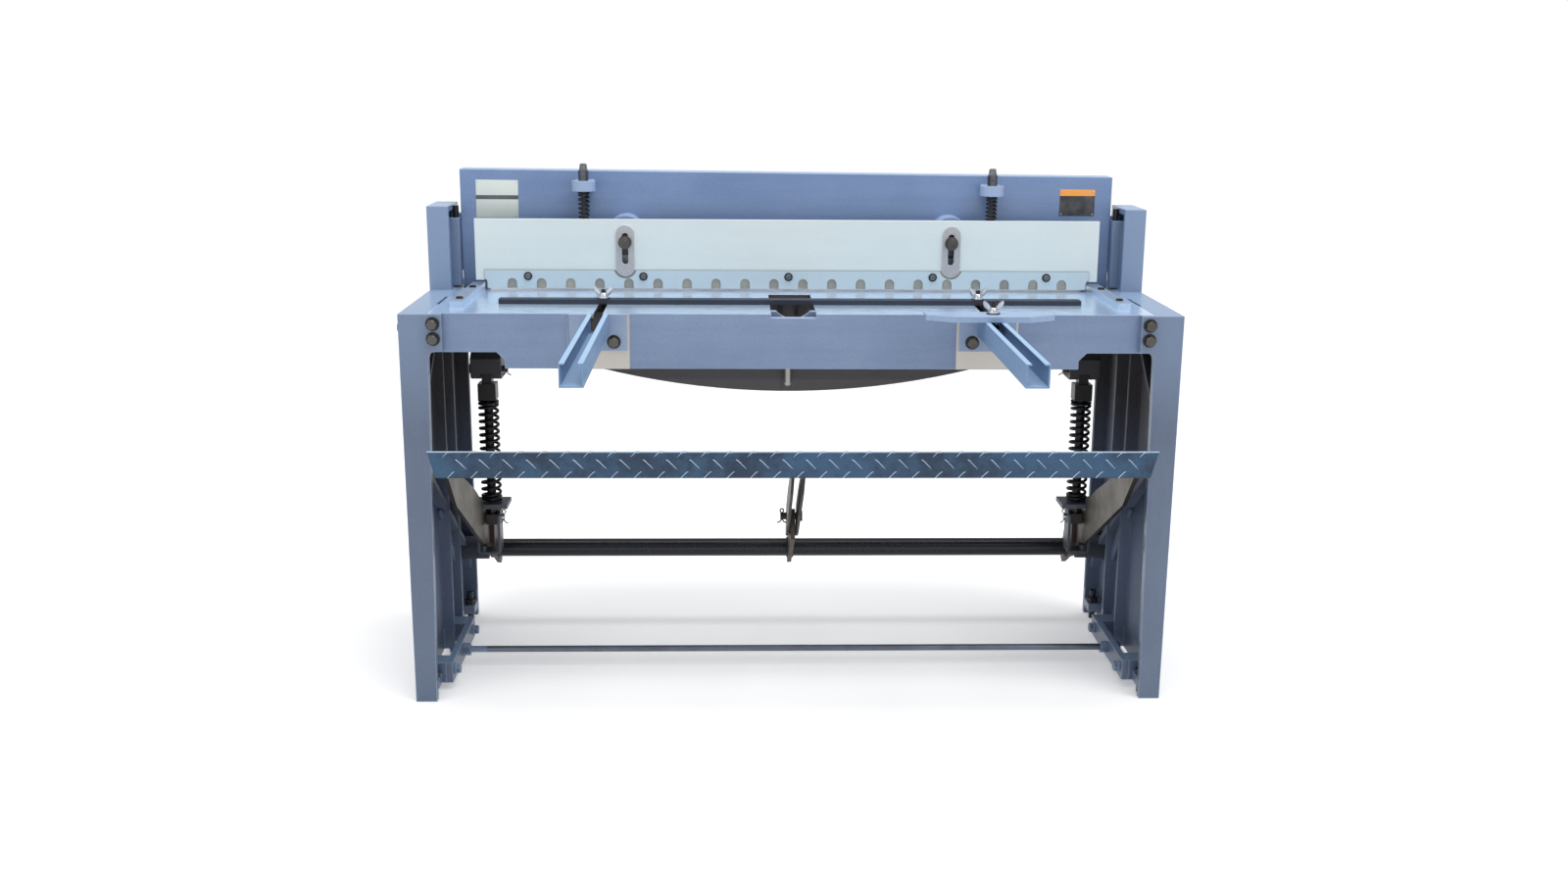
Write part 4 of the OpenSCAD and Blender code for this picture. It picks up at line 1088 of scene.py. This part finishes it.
@dataclass
class Castings:
    """Finishes and fasteners of the standing frame."""

    look: Finishes
    nodes: dict

    def dress(self) -> None:
        """Puts the finishes on the frame's nodes."""
        table = {
            self.look.cast: ["left_side_frame", "right_side_frame", "left_foot_bar",
                             "right_foot_bar", "gibs"],
            self.look.bed: ["bed"],
            self.look.ground: ["left_squaring_arm", "right_squaring_arm"],
            self.look.blade: ["lower_blade"],
            self.look.arm: ["left_gauge_arm", "right_gauge_arm"],
            self.look.bracket: ["gauge_brackets"],
            self.look.seat: ["left_spring_seat", "right_spring_seat"],
            self.look.stud: ["bed_stud"],
            self.look.tie: ["tie_rod"],
            self.look.foot_thread: ["levelling_bolts"],
            self.look.black: ["gib_screws"],
        }
        for material, names in table.items():
            for name in names:
                wear(self.nodes[name], material)

    def bolts(self) -> None:
        """Makes the hexagon screws of the frame."""
        heads, washers = Shape(), Shape()
        for side in (-1, 1):
            out = Axis.RIGHT if side > 0 else Axis.LEFT
            seats = [(at(side * 712, 0, z), Axis.FRONT, 0.0105) for z in (766, 796)]
            seats += [(at(side * 388 + dx, 7, 760), Axis.FRONT, 0.0095) for dx in (-31, 31)]
            seats += [(at(side * 780, y, 779), out, 0.0105) for y in (63, 343)]
            for place, axis, height in seats:
                self.bolt(heads, washers, place, axis, 0.0185, height, 0.0137)
        heads.piece("frame_bolts", self.look.bolt, Body.FRAME, "black_oxide", 22)
        washers.piece("frame_washers", self.look.black, Body.FRAME, "black_oxide", 30)
        painted = Shape()
        for side in (-1, 1):
            inward = Axis.LEFT if side > 0 else Axis.RIGHT
            for y in (85, 322):
                self.bolt(painted, painted, at(side * 713, y, 40), inward, 0.019, 0.010, 0.012)
            nut = facing(at(side * 713, 199, 40), inward)
            painted.add(hexagon(0.0245, 0.0155), nut @ Matrix.Rotation(0.4, 4, "Z"))
        painted.piece("foot_bar_bolts", self.look.cast, Body.FRAME, "cast_paint", 22)

    def bolt(self, heads: Shape, washers: Shape, place: Vector, axis: Axis, flats: float,
             height: float, washer: float) -> None:
        """Adds a washer, a hexagon head and its round crown.

        Args:
            heads: The shape that the head joins.
            washers: The shape that the washer joins.
            place: The middle of its seat.
            axis: Where the head points.
            flats: Width over its flats, in metres.
            height: Height of the head.
            washer: Radius of the washer.
        """
        frame = facing(place, axis)
        washers.add(disc(washer, 0.0026, 40, 0.0005), frame)
        lift = frame @ Matrix.Translation((0, 0, 0.0025)) @ Matrix.Rotation(0.3 + place.x, 4, "Z")
        heads.add(hexagon(flats, height), lift)
        heads.add(disc(flats * 0.43, 0.0007, 30, 0.0003),
                  lift @ Matrix.Translation((0, 0, height - 0.0001)))

    def ribs(self) -> None:
        """Makes the slanting rib on the inner side of each side frame."""
        shape = Shape()
        for side in (-1, 1):
            lean = Matrix.Rotation(math.atan2(152, 181), 4, "X")
            shape.add(slab((0.014, 0.026, 0.246), 0.0065, 3),
                      Matrix.Translation(at(side * 763, 334, 256)) @ lean)
        shape.piece("side_ribs", self.look.cast, Body.FRAME, "cast_paint", 60)

    def squaring_screws(self) -> None:
        """Makes the socket screws in the counterbores of the squaring arms."""
        shape = Shape()
        for side in (-1, 1):
            for y in (137, 304):
                shape.add(socket_head(0.0076, 0.0085, 0.008), facing(at(side * 681, y, 822), Axis.UP))
        shape.piece("squaring_screws", self.look.black, Body.FRAME, "black_oxide", 30)

    def return_springs(self) -> None:
        """Winds the return springs, which take the place of the plain coils."""
        for side, name in ((-1, "left"), (1, "right")):
            shape = Shape()
            shape.add(coil(at(side * 670.5, 392, 325), 0.02025, 0.0035, 0.2382, 16.5, closed=1.6),
                      Matrix.Identity(4))
            spring = shape.piece(name + "_return_coil", self.look.coil, Body.FRAME, "black_oxide", 60)
            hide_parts(name + "_return_spring")
            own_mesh(spring)

    def build(self) -> None:
        """Builds and dresses the frame."""
        self.dress()
        self.bolts()
        self.ribs()
        self.squaring_screws()
        self.return_springs()


@dataclass
class Ram:
    """Finishes, plates and small parts of the ram."""

    look: Finishes
    nodes: dict

    def dress(self) -> None:
        """Puts the finishes on the ram's nodes."""
        table = {
            self.look.ram: ["ram"],
            self.look.blade: ["upper_blade"],
            self.look.black: ["lug_pins", "left_pull_rod", "right_pull_rod"],
            self.look.bolt: ["guide_bolts"],
            self.look.strap: ["left_stirrup", "right_stirrup"],
            self.look.zinc: ["stirrup_pins"],
        }
        for material, names in table.items():
            for name in names:
                wear(self.nodes[name], material)

    def plates(self) -> None:
        """Makes the two bare plates on the face of the ram."""
        for name, finish, x, z, width, height, turn in (
                ("left_plate", self.look.left_plate, -638, 1007, 92, 82, 0.008),
                ("right_plate", self.look.right_plate, 642, 1005, 78, 58, 0.006)):
            shape = Shape()
            place = Matrix.Translation(at(x, 410.2, z)) @ Matrix.Rotation(turn, 4, "Y")
            shape.add(slab((width * 0.001, 0.0009, height * 0.001), 0.0003), place)
            shape.piece(name, finish, Body.RAM, "bright_zinc")
            rivets = Shape()
            for dx in (-1, 1):
                for dz in (-1, 1):
                    spot = place @ Vector((dx * (width / 2 - 4) * 0.001, -0.0004,
                                           dz * (height / 2 - 4) * 0.001))
                    rivets.add(disc(0.0017, 0.0009, 16, 0.0005), facing(spot, Axis.FRONT))
            rivets.piece(name + "_rivets", self.look.zinc, Body.RAM, "bright_zinc")

    def cotters(self) -> None:
        """Makes the split pins in the lug pins and the stirrup pins."""
        shape = Shape()
        for side in (-1, 1):
            inner = at(side * 627, 392, 632)
            for part, place in cotter(Matrix.Translation(inner) @ Matrix.Rotation(0.5 * side, 4, "X"), 0.008):
                shape.add(part, place)
            low = at(side * 645, 392, 287)
            for part, place in cotter(Matrix.Translation(low) @ Matrix.Rotation(-0.4, 4, "X"), 0.008):
                shape.add(part, place)
        shape.piece("ram_cotters", self.look.wire, Body.RAM, "black_oxide", 60)

    def clamp_springs(self) -> None:
        """Winds the clamp springs, which take the place of the plain coils."""
        for side, name in ((-1, "left"), (1, "right")):
            top = 1025 - side * 445 * 10 / (2 * 718)
            shape = Shape()
            shape.add(coil(at(side * 445, 372, 958), 0.0102, 0.0026, (top - 958) * 0.001, 7.5, 24),
                      Matrix.Identity(4))
            spring = shape.piece(name + "_clamp_coil", self.look.clamp_coil, Body.RAM,
                                 "black_oxide", 60)
            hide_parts(name + "_clamp_spring")
            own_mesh(spring)

    def guide_heads(self) -> None:
        """Makes the crowns of the guide bolts."""
        shape = Shape()
        for side in (-1, 1):
            shape.add(disc(0.0062, 0.0006, 30, 0.0003), facing(at(side * 355, 322.8, 921), Axis.FRONT))
        shape.piece("guide_bolt_crowns", self.look.bolt, Body.RAM, "black_oxide")

    def build(self) -> None:
        """Builds and dresses the ram."""
        self.dress()
        self.plates()
        self.cotters()
        self.clamp_springs()
        self.guide_heads()


@dataclass
class HoldDown:
    """Finishes and screws of the hold-down."""

    look: Finishes
    nodes: dict
    screws: tuple = (-566, -316, 0, 316, 566)

    def build(self) -> None:
        """Builds and dresses the hold-down."""
        wear(self.nodes["hold_down"], self.look.pale)
        wear(self.nodes["finger_guard"], self.look.guard)
        wear(self.nodes["clamp_rods"], self.look.rod_thread)
        heads, washers = Shape(), Shape()
        for x in self.screws:
            place = facing(at(x, 337, 847), Axis.FRONT)
            washers.add(disc(0.0092, 0.0014, 36, 0.0004), place)
            heads.add(socket_head(0.0066, 0.0046, 0.0045, True),
                      place @ Matrix.Translation((0, 0, 0.0013)))
        heads.piece("guard_screws", self.look.button, Body.CLAMP, "black_oxide", 30)
        washers.piece("guard_washers", self.look.black, Body.CLAMP, "black_oxide", 30)
        caps = Shape()
        for side in (-1, 1):
            base = at(side * 445, 372, 1067.2 - side * 3.1)
            caps.add(hexagon(0.0168, 0.0080), facing(base, Axis.UP))
            caps.add(disc(0.0080, 0.0088, 30, 0.0036), facing(base + Vector((0, 0, 0.0078)), Axis.UP))
        caps.piece("rod_cap_nuts", self.look.button, Body.CLAMP, "black_oxide", 40)


@dataclass
class Treadle:
    """Finishes, checker pattern, welds and pins of the treadle."""

    look: Finishes
    nodes: dict
    half: float = 706.0
    lip: tuple = ((-146.0, 574.0), (-140.0, 519.0))
    pitch: float = 44.8
    spread: float = 0.0248
    lug_size: tuple = (0.032, 0.0086, 0.0022)

    def dress(self) -> None:
        """Puts the finishes on the treadle's nodes."""
        table = {
            self.look.tube: ["torque_tube"],
            self.look.primed: ["lug_plates"],
            self.look.cut: ["left_treadle_arm", "right_treadle_arm", "centre_treadle_arm"],
            self.look.black: ["centre_pin"],
            self.look.tread: ["tread"],
        }
        for material, names in table.items():
            for name in names:
                wear(self.nodes[name], material)

    def lug(self, angle: float, spot: tuple[float, float], height: float) -> bmesh.types.BMesh:
        """Makes one raised lug on a face, trimmed at the face's two long edges.

        Args:
            angle: Its slope in the face, in degrees.
            spot: Its place along and down the face, in metres.
            height: Height of the face.

        Returns:
            The part, in the face's own frame: X along, Y down, Z out.
        """
        part = bmesh.new()
        bmesh.ops.create_uvsphere(part, u_segments=10, v_segments=8, radius=1.0,
                                  matrix=Matrix.Diagonal((self.lug_size[0] / 2, self.lug_size[1] / 2,
                                                          self.lug_size[2], 1.0))
                                  @ Matrix.Rotation(math.pi / 2, 4, "Y"))
        for vertex in part.verts:
            vertex.co.y -= 9.0 * vertex.co.x ** 2 - 0.0009
        part.transform(Matrix.Translation((*spot, 0.0)) @ Matrix.Rotation(math.radians(angle), 4, "Z"))
        for place, way in (((0, 0, -0.0002), (0, 0, -1)), ((0, 0.0012, 0), (0, -1, 0)),
                           ((0, height - 0.0006, 0), (0, 1, 0))):
            cut = bmesh.ops.bisect_plane(part, geom=part.verts[:] + part.edges[:] + part.faces[:],
                                         plane_co=place, plane_no=way, clear_outer=True)
            rim = [g for g in cut["geom_cut"] if isinstance(g, bmesh.types.BMEdge)]
            if rim:
                bmesh.ops.contextual_create(part, geom=rim)
        return part

    def checker(self) -> None:
        """Makes the raised lugs on the lip and on the top of the tread."""
        shape = Shape()
        top, foot = at(0, *self.lip[0]), at(0, *self.lip[1])
        down = (foot - top).normalized()
        self.rows(shape, top, down, Vector((0, down.z, -down.y)), (foot - top).length)
        slope = math.radians(16)
        back = Vector((0, math.cos(slope), -math.sin(slope)))
        self.rows(shape, top + back * 0.016, back, Vector((0, -back.z, back.y)), 0.062, 0.5)
        shape.piece("tread_checker", self.look.lug, Body.TREADLE, "tread_paint", 50)

    def rows(self, shape: Shape, start: Vector, down: Vector, out: Vector, height: float,
             rise: float = 1.0) -> None:
        """Adds rows of lugs on one face, leaning to and fro.

        Args:
            shape: The shape that they join.
            start: The middle of the face's upper edge.
            down: The direction down the face.
            out: The direction out of it.
            height: Height of the face.
            rise: How far the lugs stand up, against those of the lip.
        """
        axes = Matrix((Vector((1, 0, 0)), down, out * rise)).transposed().to_4x4()
        frame = Matrix.Translation(start) @ axes
        count = round(self.half / self.pitch)
        for row in range(-1, 2 + int(height / self.spread)):
            level = 0.0296 + row * self.spread
            if not -0.004 < level < height + 0.004:
                continue
            for index in range(-count - 1, count + 2):
                x = index * self.pitch + (-15.4 if row % 2 == 0 else 7.0)
                if abs(x) < self.half - 18 - 13 * level / height:
                    shape.add(self.lug(47 if row % 2 == 0 else -47, (x * 0.001, level), height), frame)

    def welds(self) -> None:
        """Lays the weld beads round the tube, at its lug plates and its stubs."""
        shape = Shape()
        chance = random.Random(7)
        ring = (Vector((0, 1, 0)), Vector((0, 0, 1)))
        for x, radius in ((-674, 22.5), (674, 22.5), (8.4, 22.5), (19.6, 22.5), (-695, 16), (695, 16)):
            path = arc(at(x, 500, 180), radius * 0.001, 0, 360, ring, 40)
            path = [p + Vector((chance.uniform(-0.0004, 0.0004), 0, 0)) for p in path]
            shape.add(wire(path, 0.0026, 8), Matrix.Identity(4))
        shape.piece("treadle_welds", self.look.weld, Body.TREADLE, "bare_steel", 60)

    def cotters(self) -> None:
        """Makes the split pin of the middle pin."""
        shape = Shape()
        for part, place in cotter(Matrix.Translation(at(-10.5, 335, 305)), 0.009, 0.0016):
            shape.add(part, place)
        shape.piece("centre_cotter", self.look.wire, Body.TREADLE, "black_oxide", 60)

    def build(self) -> None:
        """Builds and dresses the treadle."""
        self.dress()
        self.checker()
        self.welds()
        self.cotters()


@dataclass
class Gauges:
    """Finishes and wing nuts of the two gauges."""

    look: Finishes
    nodes: dict

    def wing_nut(self, shape: Shape, place: Matrix) -> None:
        """Adds a wing nut that stands on a place."""
        shape.add(disc(0.0105, 0.0030, 32, 0.0010), place @ Matrix.Translation((0, 0, 0.0016)))
        shape.add(disc(0.0092, 0.0085, 32, 0.0012, 0.0068), place @ Matrix.Translation((0, 0, 0.0040)))
        for side in (0, math.pi):
            turn = Matrix.Rotation(side, 4, "Z")
            lean = Matrix.Translation((0.0128, 0.0015, 0.0150)) @ Matrix.Rotation(0.60, 4, "Y")
            shape.add(self.wing(), place @ turn @ lean @ Matrix.Rotation(math.pi / 2, 4, "X"))

    def wing(self) -> bmesh.types.BMesh:
        """Makes one flat wing, upright on its long side, narrower at its root."""
        part = bmesh.new()
        bmesh.ops.create_circle(part, cap_ends=True, segments=24, radius=1.0,
                                matrix=Matrix.Diagonal((0.0050, 0.0122, 1.0, 1.0)))
        for vertex in part.verts:
            vertex.co.x *= 1.0 + 30.0 * min(0.0, vertex.co.y)
        made = bmesh.ops.extrude_face_region(part, geom=part.faces[:])
        moved = [g for g in made["geom"] if isinstance(g, bmesh.types.BMVert)]
        bmesh.ops.translate(part, verts=moved, vec=(0, 0, 0.0030))
        rims = [e for e in part.edges if abs(e.verts[0].co.z - e.verts[1].co.z) < 1e-6]
        bmesh.ops.bevel(part, geom=rims, offset=0.0009, segments=2, profile=0.5,
                        affect="EDGES", material=-1)
        return part

    def bolt_head(self, shape: Shape, place: Vector) -> None:
        """Adds the T-head and the shank of a gauge bolt."""
        shape.add(slab((0.024, 0.016, 0.007), 0.0008), Matrix.Translation(place + Vector((0, 0, 0.0035))))
        shape.add(disc(0.0047, 0.03, 24, 0.0), Matrix.Translation(place))

    def build(self) -> None:
        """Builds and dresses the gauges."""
        wear(self.nodes["front_gauge"], self.look.gauge)
        wear(self.nodes["bevel_gauge"], self.look.bevel)
        front, screws = Shape(), Shape()
        for side in (-1, 1):
            top = Matrix.Translation(at(side * 388, 152, 825.3))
            self.wing_nut(front, top @ Matrix.Rotation(0.25 * side, 4, "Z"))
            self.screw(screws, top, 0.0155)
            self.bolt_head(screws, at(side * 388, 152, 797))
        nuts = front.piece("front_wing_nuts", self.look.zinc, Body.GAUGE, "bright_zinc", 40)
        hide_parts("front_gauge_clamps")
        screws.piece("front_gauge_screws", self.look.black, Body.GAUGE, "black_oxide", 30)
        bevel, screw = Shape(), Shape()
        top = Matrix.Translation(at(388, -46, 826.6))
        self.wing_nut(bevel, top @ Matrix.Rotation(0.1, 4, "Z"))
        self.screw(screw, top, 0.0215)
        self.bolt_head(screw, at(388, -46, 797))
        nut = bevel.piece("bevel_wing_nut", self.look.zinc, Body.CARRIAGE, "bright_zinc", 40)
        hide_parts("bevel_clamp")
        screw.piece("bevel_gauge_screw", self.look.black, Body.CARRIAGE, "black_oxide", 30)

    def screw(self, shape: Shape, place: Matrix, shank: float) -> None:
        """Adds a washer on a place and the end of a screw over it."""
        shape.add(disc(0.0135, 0.0018, 40, 0.0004), place)
        shape.add(disc(0.0047, shank + 0.004, 24, 0.0010), place)


@dataclass(frozen=True)
class Studio:
    """The floor, the light and the camera."""

    eye: tuple[float, float, float] = (-0.1187, -3.0765, 1.2928)
    pitch: float = 13.464
    yaw: float = 1.885
    roll: float = 0.465
    lens: float = 35.857
    horizon: float = 1.06
    sky: float = 0.42

    def camera(self) -> None:
        """Places the camera where the photograph was taken from."""
        pitch, yaw, roll = (math.radians(a) for a in (self.pitch, self.yaw, self.roll))
        ahead = Vector((math.sin(yaw) * math.cos(pitch), math.cos(yaw) * math.cos(pitch),
                        -math.sin(pitch)))
        right = Vector((math.cos(yaw), -math.sin(yaw), 0))
        up = right.cross(ahead)
        turn = Matrix.Rotation(-roll, 3, ahead)
        right, up = turn @ right, turn @ up
        data = bpy.data.cameras.new("camera")
        data.lens = self.lens
        data.sensor_width = 36
        data.clip_start = 0.05
        data.clip_end = 60
        thing = bpy.data.objects.new("camera", data)
        place = Matrix((right, up, -ahead)).transposed().to_4x4()
        place.translation = Vector(self.eye)
        thing.matrix_world = place
        bpy.context.scene.collection.objects.link(thing)
        bpy.context.scene.camera = thing

    def lamp(self, name: str, place: tuple[float, float, float], aim: tuple[float, float, float],
             size: tuple[float, float], power: float) -> None:
        """Hangs one soft light.

        Args:
            name: Its name.
            place: Where it hangs, in metres.
            aim: What it points at.
            size: Its width and height.
            power: Its power, in watts.
        """
        data = bpy.data.lights.new(name, "AREA")
        data.shape = "RECTANGLE"
        data.size, data.size_y = size
        data.energy = power
        thing = bpy.data.objects.new(name, data)
        thing.location = place
        thing.rotation_euler = (Vector(aim) - Vector(place)).to_track_quat("-Z", "Y").to_euler()
        bpy.context.scene.collection.objects.link(thing)

    def sun(self, name: str, toward: Color, angle: float, strength: float) -> None:
        """Adds one broad light from far off.

        Args:
            name: Its name.
            toward: The direction that it comes from.
            angle: Its width, in degrees.
            strength: Its strength.
        """
        data = bpy.data.lights.new(name, "SUN")
        data.angle = math.radians(angle)
        data.energy = strength
        thing = bpy.data.objects.new(name, data)
        thing.rotation_euler = Vector(toward).to_track_quat("Z", "Y").to_euler()
        bpy.context.scene.collection.objects.link(thing)

    def surround(self) -> None:
        """Makes the pale room: white at the level of the eye, darker above."""
        world = bpy.data.worlds.new("studio")
        world.use_nodes = True
        tree = world.node_tree
        source = tree.nodes.new("ShaderNodeTexCoord")
        parts = tree.nodes.new("ShaderNodeSeparateXYZ")
        ramp = tree.nodes.new("ShaderNodeMapRange")
        ramp.interpolation_type = "SMOOTHSTEP"
        for number, value in enumerate((0.08, 0.30, self.horizon, self.sky), 1):
            ramp.inputs[number].default_value = value
        tree.links.new(source.outputs["Generated"], parts.inputs[0])
        tree.links.new(parts.outputs[2], ramp.inputs[0])
        tree.links.new(ramp.outputs[0], tree.nodes["Background"].inputs[1])
        tree.nodes["Background"].inputs[0].default_value = (0.97, 0.985, 1.0, 1)
        bpy.context.scene.world = world

    def build(self) -> None:
        """Builds the studio."""
        self.camera()
        bpy.ops.mesh.primitive_plane_add(size=60, location=(0, 0, 0))
        floor = bpy.context.object
        floor.name = "floor"
        graph = Graph("floor_paper")
        tone = graph.noise(0.6, 2).within(0.3, 0.7)
        color = graph.mix(tone, (0.93, 0.93, 0.93), (0.95, 0.95, 0.95))
        floor.data.materials.append(graph.finish(
            {"Roughness": 0.9, "Specular IOR Level": 0.1, "Emission Color": (1.0, 1.0, 1.0, 1.0),
             "Emission Strength": 0.29}, color=color))
        self.surround()
        self.sun("key", (0.60, -0.62, 1.0), 45, 1.00)
        self.sun("fill", (-0.75, -0.7, 0.9), 60, 0.50)
        self.lamp("top", (0, 0.1, 3.4), (0, 0.1, 0.8), (2.6, 1.8), 60)
        bpy.context.scene.view_settings.view_transform = "Standard"


def wear(thing: bpy.types.Object, material: bpy.types.Material) -> None:
    """Puts one finish on a CAD node."""
    thing.data.materials.clear()
    thing.data.materials.append(material)


def main(frame: dict) -> None:
    """Builds the whole scene.
    """
    look = Finishes()
    nodes = frame["nodes"]
    Castings(look, nodes).build()
    Ram(look, nodes).build()
    HoldDown(look, nodes).build()
    Treadle(look, nodes).build()
    Gauges(look, nodes).build()
    Studio().build()


if __name__ == "__main__":
    logging.basicConfig(level=logging.INFO)
    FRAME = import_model()
    main(FRAME)
